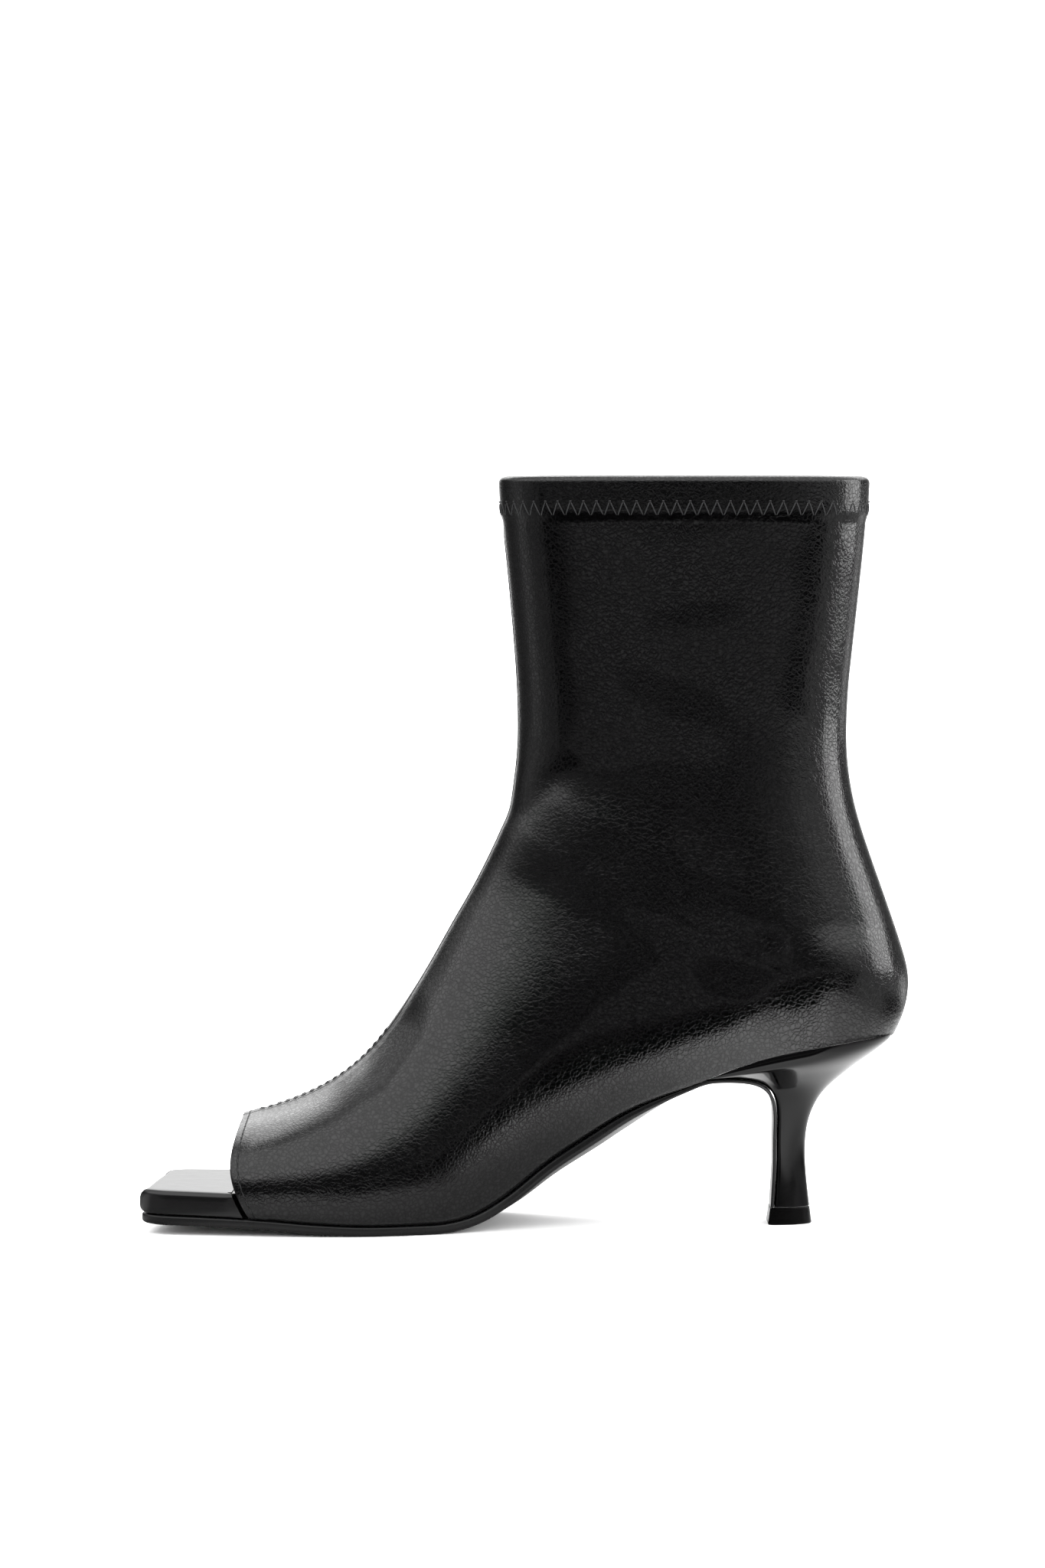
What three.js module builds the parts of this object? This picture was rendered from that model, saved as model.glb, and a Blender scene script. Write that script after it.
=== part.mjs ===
// A heeled ankle boot for the right foot. A slim pull-on upper with a folded collar and a square
// open toe stands on a wrapped footbed, a thin outsole that runs down the heel breast, and a
// flared heel with its own top-lift. Millimetres, +Z up, toe towards -X, inner side at -Y.

import * as THREE from 'three';
import { mergeVertices } from 'three/addons/utils/BufferGeometryUtils.js';

// Lengths and heights of the whole boot
const bootLength = 243.5;      // toe of the footbed to the fullest point of the heel counter
const heelHeight = 61;         // floor to the back edge of the seat
const shaftHeight = 177;       // back edge of the seat to the collar
const heelTuck = 4;            // how far the counter swells past the seat

// The toe opening
const openingSetback = 32;     // toe tip to the top of the opening
const openingHeight = 31.6;    // upper face of the outsole at the tread to the top of the opening
const openingBow = 3.8;        // how far the opening's edge swells towards the toe

// The ankle and the collar
const ankleHeight = 95;        // seat to the narrowest part of the ankle
const ankleDepth = 104.2;      // instep bend to the back of the ankle
const ankleSetback = 20;       // back of the counter to the back of the ankle
const collarDepth = 117;       // front to back at the collar
const collarSetback = 13;      // back of the counter to the back of the collar
const cuffHeight = 12.8;
const cuffStep = 0.6;          // the folded collar stands proud by this much
const cuffFold = 0.5;          // extra thickness of the fold on the inside
const cuffRound = 1;

// Full widths of the upper
const vampWidth = 83;
const counterWidth = 62;
const ankleWidth = 57;
const collarWidth = 59;

// Full widths of the sole's outline and its corners
const toeWidth = 61;
const ballWidth = 77.5;
const waistWidth = 49;
const seatWidth = 54;
const toeCorner = 9;
const toeSlant = 4;            // the outer corner of the toe lies further back

// The upper's wall and the sole's layers
const upperWall = 1.6;
const outsoleThickness = 3.2;
const outsoleInset = 0.8;      // the outsole is a little smaller than the outline
const outsoleCrown = 1.4;      // the waist of the outsole is rounded underneath
const flapThickness = 1.1;     // where the outsole runs down the heel breast
const footbedThickness = 7.6;  // at the open toe
const seatPad = 4;             // thickness of the footbed at the heel
const footbedRound = 1.8;
const toeSpring = 3.4;
const archLift = 5;            // inner edge over outer edge at the arch
const tuckDepth = 1.2;         // the upper draws in where it meets the sole
const tuckHeight = 2;
const upperSwell = 0.6;        // the upper above the tuck, past the sole's outline

// The heel and its top-lift
const breastSetback = 37.9;    // back of the seat to the heel breast
const shelfLength = 26.1;      // breast to where the outsole leaves the footbed
const columnDepth = 9.4;
const columnWidth = 12.4;
const liftHeight = 5.4;
const liftDepth = 14.4;
const liftWidth = 16;
const liftTaper = 0.7;         // the top-lift is smaller at its top by this much all round
const liftOverhang = 2.8;      // top-lift's front edge ahead of the heel breast

const gap = 0.3;               // between neighbouring pieces

// Places worked out from the sizes above
const toeX = -bootLength / 2;
const counterX = bootLength / 2;
const seatBackX = counterX - heelTuck;
const soleLength = seatBackX - toeX;
const openingX = toeX + openingSetback;
const openingZ = outsoleThickness + openingHeight;
const ankleBackX = counterX - ankleSetback;
const ankleFrontX = ankleBackX - ankleDepth;
const ankleZ = heelHeight + ankleHeight;
const collarBackX = counterX - collarSetback;
const collarFrontX = collarBackX - collarDepth;
const collarZ = heelHeight + shaftHeight;
const breastX = seatBackX - breastSetback;
const shelfX = breastX - shelfLength;
const columnBackX = breastX + columnDepth;
const columnFootZ = liftHeight + gap;

// Sole sections from the seat to the toe. along is a share of the sole's length, rise a share of
// the climb from the tread to the seat, spring of toeSpring and lift of archLift. inner is the
// inner side's share of the width.
const soleTable = [
  { along: 0, rise: 1, spring: 0, lift: 0, inner: 0.5 },
  { along: 0.034, rise: 0.991, spring: 0, lift: 0, inner: 0.5 },
  { along: 0.085, rise: 0.965, spring: 0, lift: 0, inner: 0.5 },
  { along: 0.126, rise: 0.934, spring: 0, lift: 0, inner: 0.497 },
  { along: 0.166, rise: 0.899, spring: 0, lift: 0, inner: 0.494 },
  { along: 0.212, rise: 0.837, spring: 0, lift: 0.15, inner: 0.488 },
  { along: 0.263, rise: 0.736, spring: 0, lift: 0.45, inner: 0.475 },
  { along: 0.314, rise: 0.641, spring: 0, lift: 0.8, inner: 0.46 },
  { along: 0.3645, rise: 0.536, spring: 0, lift: 1, inner: 0.445 },
  { along: 0.415, rise: 0.404, spring: 0, lift: 0.96, inner: 0.438 },
  { along: 0.466, rise: 0.272, spring: 0, lift: 0.8, inner: 0.436 },
  { along: 0.517, rise: 0.116, spring: 0, lift: 0.52, inner: 0.445 },
  { along: 0.568, rise: 0.017, spring: 0, lift: 0.22, inner: 0.47 },
  { along: 0.608, rise: 0, spring: 0, lift: 0, inner: 0.489 },
  { along: 0.69, rise: 0, spring: 0, lift: 0, inner: 0.512 },
  { along: 0.76, rise: 0, spring: 0.2, lift: 0, inner: 0.525 },
  { along: 0.852, rise: 0, spring: 0.68, lift: 0, inner: 0.541 },
  { along: 1, rise: 0, spring: 1, lift: 0, inner: 0.558 },
];

const widthTable = [
  { along: 0, width: seatWidth },
  { along: 0.13, width: seatWidth },
  { along: 0.42, width: waistWidth },
  { along: 0.72, width: ballWidth },
  { along: 1, width: toeWidth },
];

// Upper sections. Each is an oval on a chord that fans round the instep, from its base on the
// sole, or on the back of the boot, to the ridge of the vamp, or the front of the shaft.
// ridge and ridgeUp run from 0 at the opening over 1 at the ankle to 2 at the collar. along is
// the base's place on the sole. back and backUp run from 0 at the counter and the seat over 1 at
// the ankle to 2 at the collar. girth runs from 0 at the ball over 1 at the counter and 2 at the
// ankle to 3 at the collar. inner is the inner side's share of the width, bow a share of
// openingBow, and round the oval's exponent, 2 for an ellipse.
const cuffFoot = 2 - cuffHeight / (collarZ - ankleZ);
const upperTable = [
  { ridge: 0, ridgeUp: 0, along: 0.852, girth: 0.42, inner: 0.541, bow: 1, round: 2.3 },
  { ridge: 0.171, ridgeUp: 0.036, along: 0.779, girth: 0.18, inner: 0.529, bow: 0.53, round: 2.25 },
  { ridge: 0.338, ridgeUp: 0.095, along: 0.695, girth: 0.02, inner: 0.515, bow: 0.2, round: 2.2 },
  { ridge: 0.464, ridgeUp: 0.171, along: 0.6075, girth: 0.08, inner: 0.503, bow: 0, round: 2.2 },
  { ridge: 0.589, ridgeUp: 0.296, along: 0.5157, girth: 0.38, inner: 0.49, bow: 0, round: 2.2 },
  { ridge: 0.674, ridgeUp: 0.394, along: 0.4196, girth: 0.7, inner: 0.485, bow: 0, round: 2.3 },
  { ridge: 0.757, ridgeUp: 0.503, along: 0.311, girth: 0.875, inner: 0.488, bow: 0, round: 2.4 },
  { ridge: 0.825, ridgeUp: 0.587, along: 0.2025, girth: 0.95, inner: 0.492, bow: 0, round: 2.5 },
  { ridge: 0.888, ridgeUp: 0.674, along: 0.098, girth: 0.98, inner: 0.496, bow: 0, round: 2.65 },
  { ridge: 0.932, ridgeUp: 0.74, along: 0.0355, girth: 1.04, inner: 0.497, bow: 0, round: 2.75 },
  { ridge: 0.9565, ridgeUp: 0.785, along: 0, girth: 1.1, inner: 0.498, bow: 0, round: 2.8 },
  { ridge: 0.974, ridgeUp: 0.835, back: 0.035, backUp: 0.087, girth: 1.2, inner: 0.499, bow: 0, round: 2.75 },
  { ridge: 0.985, ridgeUp: 0.876, back: 0, backUp: 0.182, girth: 1.3, inner: 0.5, bow: 0, round: 2.7 },
  { ridge: 0.993, ridgeUp: 0.9175, back: 0.11, backUp: 0.293, girth: 1.55, inner: 0.5, bow: 0, round: 2.6 },
  { ridge: 0.998, ridgeUp: 0.967, back: 0.345, backUp: 0.445, girth: 1.8, inner: 0.5, bow: 0, round: 2.5 },
  { ridge: 1, ridgeUp: 1.024, back: 0.645, backUp: 0.624, girth: 1.93, inner: 0.5, bow: 0, round: 2.45 },
  { ridge: 1.017, ridgeUp: 1.11, back: 0.89, backUp: 0.793, girth: 2, inner: 0.5, bow: 0, round: 2.45 },
  { ridge: 1.068, ridgeUp: 1.207, back: 0.995, backUp: 0.972, girth: 2, inner: 0.5, bow: 0, round: 2.45 },
  { ridge: 1.186, ridgeUp: 1.33, back: 1.114, backUp: 1.174, girth: 2.05, inner: 0.5, bow: 0, round: 2.5 },
  { ridge: 1.373, ridgeUp: 1.488, back: 1.4, backUp: 1.405, girth: 2.25, inner: 0.5, bow: 0, round: 2.5 },
  { ridge: 1.644, ridgeUp: 1.69, back: 1.743, backUp: 1.68, girth: 2.6, inner: 0.5, bow: 0, round: 2.55 },
  { ridge: 1.88, ridgeUp: cuffFoot, back: 1.92, backUp: cuffFoot, girth: 2.9, inner: 0.5, bow: 0, round: 2.6 },
  { ridge: 2, ridgeUp: 2, back: 2, backUp: 2, girth: 3, inner: 0.5, bow: 0, round: 2.6 },
];
const seatSection = 10;        // the first section whose base has left the sole
const cuffSection = 21;
const collarSection = 22;

// Heel sections from under the seat down to the top-lift. reach is a share of shelfLength ahead
// of the breast, and up of the height of the outsole's exit. back is a share of the seat's
// overhang behind the column, and backUp of the seat's height. spread runs from 0 at the
// column's width to 1 at the outsole's width at its exit.
const heelTable = [
  { reach: 0.847, up: 1.0256, back: 0.872, backUp: 0.94, spread: 0.98 },
  { reach: 0.674, up: 1.036, back: 0.727, backUp: 0.8825, spread: 0.88 },
  { reach: 0.502, up: 1.036, back: 0.567, backUp: 0.823, spread: 0.725 },
  { reach: 0.349, up: 1.0256, back: 0.411, backUp: 0.7595, spread: 0.55 },
  { reach: 0.2146, up: 1, back: 0.28, backUp: 0.7016, spread: 0.385 },
  { reach: 0.107, up: 0.951, back: 0.177, backUp: 0.6438, spread: 0.245 },
  { reach: 0.038, up: 0.882, back: 0.106, backUp: 0.584, spread: 0.145 },
  { reach: 0.004, up: 0.788, back: 0.053, backUp: 0.519, spread: 0.08 },
  { reach: 0, up: 0.57, back: 0.004, backUp: 0.385, spread: 0.015 },
  { reach: 0.004, up: 0.327, back: 0.004, backUp: 0.2315, spread: 0 },
  { reach: 0.019, up: 0.1355, back: 0.028, backUp: 0.0958, spread: 0.015 },
  { reach: 0.031, up: 0, back: 0.05, backUp: 0, spread: 0.035 },
];

// How finely the curved pieces are divided
const sectionTurns = 14;       // steps from the base to the ridge on each side of the upper
const stationStep = 7.4;       // along the sole
const midLine = 0.5;           // share of the half width where the sole's sections have a point
const toeSteps = [0, 0.07, 0.26, 0.55, 1];  // shares of toeCorner, close together on the arc
const backSteps = [1, 0.72, 0.46, 0.24, 0.08, 0];  // shares of half the seat's width, on its arc
const treadEnds = [0.69, 0.62];             // the flat part of the tread, shares of soleLength

// Numbers and curves

function mix(from, to, share) {
  return from + (to - from) * share;
}

function ramp(value, start, end) {
  const share = Math.min(Math.max((value - start) / (end - start), 0), 1);
  return share * share * (3 - 2 * share);
}

// Straight runs through a list of values, one for each whole number of share.
function stretch(share, values) {
  const step = Math.min(Math.floor(share), values.length - 2);
  return mix(values[step], values[step + 1], share - step);
}

// A smooth curve through one column of a table that never overshoots its rows.
function curve(rows, place, column) {
  const knots = rows.filter((row) => column in row);
  const xs = knots.map((row) => row[place]);
  const ys = knots.map((row) => row[column]);
  const grades = xs.slice(1).map((x, i) => (ys[i + 1] - ys[i]) / (x - xs[i]));
  const slopes = xs.map((x, i) => {
    const before = grades[Math.max(i - 1, 0)];
    const after = grades[Math.min(i, grades.length - 1)];
    return before * after > 0 ? (2 * before * after) / (before + after) : 0;
  });
  return (at) => {
    const inside = Math.min(Math.max(at, xs[0]), xs.at(-1));
    const next = Math.max(xs.findIndex((x) => x >= inside), 1);
    const span = xs[next] - xs[next - 1];
    const t = (inside - xs[next - 1]) / span;
    const eased = t * t * (3 - 2 * t);
    const start = slopes[next - 1] * span * t * (1 - t) * (1 - t);
    const end = slopes[next] * span * t * t * (t - 1);
    return mix(ys[next - 1], ys[next], eased) + start + end;
  };
}

// Closed surfaces

// A four-sided face as two triangles, split along its shorter diagonal.
function split([a, b, c, d]) {
  return a.distanceTo(c) < b.distanceTo(d) ? [a, b, c, a, c, d] : [b, c, d, b, d, a];
}

// One closed geometry from a list of four-sided faces. Corners that meet are merged, faces that
// have shrunk to a line are left out, and the whole is turned so that its faces point outwards.
function solid(faces) {
  const triangles = faces.flatMap(split);
  const loose = new THREE.BufferGeometry().setFromPoints(triangles);
  const merged = mergeVertices(loose, 1e-4);
  const points = merged.getAttribute('position');
  const corner = (i) => new THREE.Vector3().fromBufferAttribute(points, i);
  const index = [];
  let volume = 0;
  for (let i = 0; i < merged.index.count; i += 3) {
    const [a, b, c] = [0, 1, 2].map((step) => merged.index.getX(i + step));
    if (a === b || b === c || c === a) continue;
    index.push(a, b, c);
    volume += corner(a).dot(corner(b).cross(corner(c)));
  }
  merged.setIndex(volume < 0 ? index.reverse() : index);
  const geometry = merged.toNonIndexed();
  geometry.computeVertexNormals();
  return geometry;
}

// The faces between two rows of points, row by row and column by column.
function strip(rowA, rowB) {
  return rowA.slice(1).map((point, i) => [rowA[i], rowB[i], rowB[i + 1], point]);
}

function skin(rows) {
  return rows.slice(1).flatMap((row, i) => strip(rows[i], row));
}

// The faces that close a ring. Every ring runs along its inner side and back along its outer side.
// A level ring is closed by rungs from side to side, and an upright one by rungs from its top to
// its underside, so that no rung lies along a straight edge.
function levelEnd(ring) {
  const half = ring.length / 2;
  return strip(ring.slice(0, half), ring.slice(half).reverse()).map((face) => face.reverse());
}

function uprightEnd(ring) {
  const half = ring.length / 2;
  const sides = [ring.slice(0, half), ring.slice(half).reverse()];
  const top = sides.map((side) => side.slice(0, Math.ceil(half / 2)));
  const foot = sides.map((side) => side.slice(Math.floor(half / 2)).reverse());
  return strip([...top[0].reverse(), ...top[1]], [...foot[0].reverse(), ...foot[1]]);
}

// A ring whose two sides meet needs no end faces.
function isFolded(ring) {
  return ring.every((point, i) => point.distanceTo(ring.at(-1 - i)) < 1e-6);
}

function loft(rings, end) {
  const closed = rings.map((ring) => [...ring, ring[0]]);
  const last = isFolded(rings.at(-1)) ? [] : end(rings.at(-1)).map((face) => face.reverse());
  return solid([...skin(closed), ...end(rings[0]), ...last]);
}

// The sole's outline and the surface on top of the outsole

const soleRise = curve(soleTable, 'along', 'rise');
const soleSpring = curve(soleTable, 'along', 'spring');
const soleLift = curve(soleTable, 'along', 'lift');
const innerShare = curve(soleTable, 'along', 'inner');
const outlineWidth = curve(widthTable, 'along', 'width');

function shareAt(x) {
  return (seatBackX - x) / soleLength;
}

// Half the outline's width on one side, with a round seat and rounded toe corners.
function halfWidth(along, side) {
  const share = side < 0 ? innerShare(along) : 1 - innerShare(along);
  const width = outlineWidth(along) * share;
  const fromBack = Math.max(along, 0) * soleLength;
  const fromToe = Math.max(1 - along, 0) * soleLength;
  const seatRadius = seatWidth / 2;
  const backShort = Math.max(seatRadius - fromBack, 0) / seatRadius;
  const cornerShort = Math.max(toeCorner - fromToe, 0);
  const corner = toeCorner - Math.sqrt(toeCorner ** 2 - cornerShort ** 2);
  return width * Math.sqrt(1 - backShort ** 2) - corner;
}

// Height of the outsole's upper face. The arch tilts it, its inner edge higher than its outer.
function soleTop(x, y) {
  const along = shareAt(x);
  const climb = (heelHeight - outsoleThickness) * soleRise(along);
  const [inner, outer] = [halfWidth(along, -1), halfWidth(along, 1)];
  const aside = y - (outer - inner) / 2;
  const tilt = archLift * soleLift(along) * aside / Math.max(inner + outer, 1);
  return outsoleThickness + toeSpring * soleSpring(along) + climb - tilt;
}

function outlinePoint(along, side) {
  const slant = side > 0 ? toeSlant * ramp(along, 0.75, 1) : 0;
  return new THREE.Vector2(seatBackX - along * soleLength + slant, side * halfWidth(along, side));
}

// A point on the outline, moved square to it towards the inside.
function edgePoint(along, side, inset) {
  const nudge = 1e-4;
  const run = outlinePoint(along + nudge, side).sub(outlinePoint(along - nudge, side)).normalize();
  const inward = new THREE.Vector2(-side * run.y, side * run.x);
  if (along <= 0) inward.set(-1, 0);
  if (along >= 1) inward.set(1, 0);
  return outlinePoint(along, side).addScaledVector(inward, inset);
}

// A point over the outline, across from -1 to 1, and depth below the outsole's upper face.
function solePoint(along, across, inset, depth) {
  const inner = edgePoint(along, -1, inset);
  const outer = edgePoint(along, 1, inset);
  const x = mix(inner.x, outer.x, (across + 1) / 2);
  const y = across < 0 ? -across * inner.y : across * outer.y;
  const nudge = 0.05;
  const slope = (soleTop(x + nudge, 0) - soleTop(x - nudge, 0)) / (2 * nudge);
  const down = new THREE.Vector2(slope, -1).normalize().multiplyScalar(depth);
  return new THREE.Vector3(x + down.x, y, soleTop(x, y) + down.y);
}

// Stations along the sole from the toe to the seat's back, which all pieces share, so that their
// faces run side by side. They stand close together on the toe's corners and the seat's round end.
const exitShare = shareAt(shelfX);
const exitZ = soleTop(shelfX, 0);
const heelTip = shareAt(breastX - heelTable[0].reach * shelfLength);

function soleStations() {
  const toe = toeSteps.map((share) => 1 - share * toeCorner / soleLength);
  const back = backSteps.map((share) => share * seatWidth / 2 / soleLength);
  const marks = [toe.at(-1), upperTable[0].along, ...treadEnds, exitShare, heelTip, back[0]];
  const between = marks.slice(1).flatMap((mark, i) => {
    const steps = Math.max(Math.round((marks[i] - mark) * soleLength / stationStep), 1);
    return Array.from({ length: steps }, (_, step) => mix(marks[i], mark, (step + 1) / steps));
  });
  return [...toe, ...between, ...back.slice(1)];
}

const stations = soleStations();

// The upper

const upperRows = upperTable.map((row, at) => ({
  at,
  round: row.round,
  inner: row.inner,
  width: stretch(row.girth, [vampWidth, counterWidth, ankleWidth, collarWidth]),
  bow: row.bow * openingBow,
  ridgeX: stretch(row.ridge, [openingX, ankleFrontX, collarFrontX]),
  ridgeZ: stretch(row.ridgeUp, [openingZ, ankleZ, collarZ]),
  baseX: 'along' in row
    ? seatBackX - row.along * soleLength
    : stretch(row.back, [counterX, ankleBackX, collarBackX]),
  ...('along' in row && row.along > 0
    ? {}
    : { baseZ: stretch(row.backUp ?? 0, [heelHeight + gap, ankleZ, collarZ]) }),
}));
const upperCurves = Object.fromEntries(
  ['round', 'inner', 'width', 'bow', 'ridgeX', 'ridgeZ', 'baseX', 'baseZ']
    .map((column) => [column, curve(upperRows, 'at', column)]),
);

// One point of the upper's outer face. turn runs from 0 at the base to 1 at the ridge.
function upperPoint(at, side, turn) {
  const value = (column) => upperCurves[column](at);
  const baseX = value('baseX');
  const onSole = at < seatSection;
  const along = shareAt(baseX);
  const foot = onSole ? halfWidth(along, side) + upperSwell * ramp(along, 0, 0.04) : 0;
  const wide = value('width') * (side < 0 ? value('inner') : 1 - value('inner'));
  const full = Math.max(wide, foot * 1.02);
  const power = 2 / value('round');
  const start = Math.asin((foot / full) ** (1 / power));
  const angle = mix(start, Math.PI, turn);
  const reach = Math.sign(Math.cos(angle)) * Math.abs(Math.cos(angle)) ** power;
  const rise = (Math.cos(start) ** power - reach) / (Math.cos(start) ** power + 1);
  const baseZ = onSole ? soleTop(baseX, side * foot) + gap : value('baseZ');
  const middleZ = onSole ? soleTop(baseX, 0) + gap : baseZ;
  const chord = Math.hypot(value('ridgeX') - baseX, value('ridgeZ') - middleZ);
  const drawn = onSole ? ramp(along, 0, 0.04) * tuckDepth : 0;
  const tuck = drawn * Math.max(1 - rise * chord / tuckHeight, 0) ** 2;
  const width = turn === 1 ? 0 : full * Math.sin(angle) ** power - tuck;
  return new THREE.Vector3(
    mix(baseX, value('ridgeX'), rise) - value('bow') * Math.sin(Math.PI * rise),
    side * width,
    mix(middleZ, value('ridgeZ'), rise) + (baseZ - middleZ) * (1 - rise) ** 2,
  );
}

// The section whose base stands at a station of the sole.
function sectionOver(along) {
  let [low, high] = [0, seatSection];
  for (let step = 0; step < 40; step += 1) {
    const middle = (low + high) / 2;
    if (shareAt(upperCurves.baseX(middle)) > along) low = middle;
    else high = middle;
  }
  return (low + high) / 2;
}

function sectionRing(at) {
  const turns = Array.from({ length: sectionTurns + 1 }, (_, i) => i / sectionTurns);
  const inner = turns.map((turn) => upperPoint(at, -1, turn));
  const outer = turns.slice(0, -1).map((turn) => upperPoint(at, 1, turn));
  return [...inner, ...outer.reverse()];
}

// Outward directions at the points of a grid, shared where points of the grid meet.
function gridNormals(rows) {
  const sums = new Map();
  const name = (point) => point.toArray().map((value) => value.toFixed(3)).join();
  for (const [a, b, c, d] of skin(rows)) {
    const across = new THREE.Vector3().subVectors(c, a);
    const normal = across.cross(new THREE.Vector3().subVectors(d, b));
    for (const point of new Set([a, b, c, d].map(name))) {
      sums.set(point, (sums.get(point) ?? new THREE.Vector3()).clone().add(normal));
    }
  }
  return rows.map((row) => row.map((point) => sums.get(name(point)).clone().normalize()));
}

// Sections of the upper with the place of its outer and inner face from the plain surface.
// The cuff is a step outwards, with a rounded rim.
function upperSections() {
  const rim = cuffRound / cuffHeight;
  const onSole = stations.filter((along) => along > 0 && along < upperTable[0].along).map(sectionOver);
  const above = [10, 10.6, 11.2, 11.8, 12.4, 13, 13.7, 14.4, 15.2, 16, 17, 18, 19, 20, cuffSection];
  const plain = [0, ...onSole, ...above].map((at) => ({ at, out: 0, wall: upperWall }));
  const cuff = [
    { at: cuffSection, out: cuffStep, wall: upperWall },
    { at: cuffSection + rim, out: cuffStep, wall: upperWall + cuffFold },
    { at: collarSection - rim, out: cuffStep, wall: upperWall + cuffFold },
    { at: collarSection, out: cuffStep - cuffRound * 0.6, wall: upperWall + cuffFold - cuffRound * 0.6 },
  ];
  return [...plain, ...cuff];
}

function upperGeometry() {
  const sections = upperSections();
  const plain = sections.map(({ at }) => sectionRing(at));
  const normals = gridNormals(plain);
  const turned = normals.at(-1)[0].x > 0 ? 1 : -1;
  const shifted = (i, j, distance) => {
    const level = sections[i].at === collarSection
      || (sections[i].at < seatSection && (j === 0 || j === plain[i].length - 1));
    const way = normals[i][j].clone().multiplyScalar(turned);
    if (level) way.setZ(0).normalize();
    return plain[i][j].clone().addScaledVector(way, distance);
  };
  const outer = plain.map((row, i) => row.map((_, j) => shifted(i, j, sections[i].out)));
  const inner = plain.map((row, i) => row.map((_, j) => shifted(i, j, -sections[i].wall)));
  const edge = (end) => outer.map((row, i) => [row.at(end), inner[i].at(end)])
    .filter((_, i) => sections[i].at <= seatSection);
  return solid([
    ...skin(outer),
    ...skin(inner).map((face) => face.reverse()),
    ...strip(outer[0], inner[0]).map((face) => face.reverse()),
    ...strip(outer.at(-1), inner.at(-1)),
    ...skin(edge(0)).map((face) => face.reverse()),
    ...skin(edge(-1)),
  ]);
}

// The footbed

// How far the upper's opening lies ahead of its base, at a height over the outsole.
function openingAhead(height, side) {
  const foot = upperPoint(0, side, 0);
  const turns = Array.from({ length: 40 }, (_, i) => i / 40);
  const above = turns.map((turn) => upperPoint(0, side, turn)).find((point) => point.z >= foot.z + height);
  return foot.x - Math.min(above.x, foot.x);
}

// One side of a footbed section from its top to its underside. Ahead of the upper's opening it
// is as wide as the outline, and behind it it lies within the upper's wall.
function footbedSide(along, side, shrink, within) {
  const thick = mix(seatPad, footbedThickness, ramp(along, 0.1, 0.75)) - shrink;
  const foot = shrink * 0.6;
  const inset = within ? upperWall + tuckDepth - upperSwell + 2 * gap : 0;
  const round = Math.min(footbedRound, thick / 3);
  const profile = [
    { across: midLine, inset, height: thick },
    { across: 1, inset: inset + round, height: thick },
    { across: 1, inset: inset + round * 0.3, height: thick - round * 0.3 },
    { across: 1, inset, height: thick - round },
    { across: 1, inset, height: foot + round * 0.5 },
    { across: 1, inset: inset + round * 0.5, height: foot },
    { across: midLine, inset, height: foot },
  ];
  return profile.map((row) => {
    const point = solePoint(along, side * row.across, row.inset, -gap - row.height);
    return { point, height: row.height };
  });
}

function footbedRing(along, shrink, within, ahead) {
  const shift = (side) => footbedSide(along, side, shrink, within).map(({ point, height }) => {
    if (ahead === undefined) return point;
    return point.setX(upperPoint(0, side, 0).x - openingAhead(height, side) - ahead);
  });
  return [...shift(-1), ...shift(1).reverse()];
}

function footbedGeometry() {
  const opening = upperTable[0].along;
  const ahead = opening + (upperWall + openingBow + 4 * gap) / soleLength;
  const shrinks = [footbedRound, footbedRound * 0.35, 0];
  return loft([
    ...stations.filter((along) => along > ahead)
      .map((along, i) => footbedRing(along, shrinks[i] ?? 0, false)),
    footbedRing(opening, 0, false, upperWall + 2 * gap),
    footbedRing(opening, 0, true, 2 * gap),
    ...stations.filter((along) => along < opening).map((along) => footbedRing(along, 0, true)),
  ], uprightEnd);
}

// The outsole

function outsoleThicknessAt(along) {
  return mix(flapThickness, outsoleThickness, ramp(along, exitShare - 0.02, exitShare + 0.14));
}

// One side of an outsole section, as its place across, its inset from the edge and its depth.
function outsoleProfile(thickness, crown) {
  const bevel = Math.min(1.2, thickness * 0.4);
  return [
    { across: midLine, inset: 0, depth: 0 },
    { across: 1, inset: bevel / 2, depth: 0 },
    { across: 1, inset: 0, depth: bevel / 2 },
    { across: 1, inset: 0, depth: thickness - bevel },
    { across: 1, inset: bevel, depth: thickness },
    { across: midLine, inset: 0, depth: thickness + crown },
  ];
}

function ringOf(profile, place) {
  const side = (sign) => profile.map(({ across, inset, depth }) => place(sign * across, inset, depth));
  return [...side(-1), ...side(1).reverse()];
}

function soleRing(along) {
  const crown = outsoleCrown * ramp(along, 0.6, 0.48) * ramp(along, exitShare, exitShare + 0.1);
  const profile = outsoleProfile(outsoleThicknessAt(along), crown);
  return ringOf(profile, (across, inset, depth) => solePoint(along, across, outsoleInset + inset, depth));
}

// The line of the outsole's upper face under the heel: along the shelf and down the breast.
const breastLine = heelTable.map(({ reach, up }) => new THREE.Vector2(
  breastX - reach * shelfLength,
  mix(columnFootZ, exitZ, up),
));

// Square to the breast line at a row, away from the heel.
function breastNormal(row) {
  const before = breastLine[row - 1] ?? new THREE.Vector2(shelfX, exitZ);
  const after = breastLine[row + 1] ?? breastLine[row];
  const run = after.clone().sub(before).normalize();
  return new THREE.Vector2(run.y, -run.x);
}

function breastHalf(row, side) {
  const exitHalf = Math.abs(edgePoint(exitShare, side, outsoleInset).y);
  return mix(columnWidth / 2, exitHalf, heelTable[row].spread);
}

// The arch's tilt goes on over the shelf and fades out down the breast.
function breastTilt(row) {
  return archLift * soleLift(exitShare) / 2 * heelTable[row].spread ** 2;
}

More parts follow.
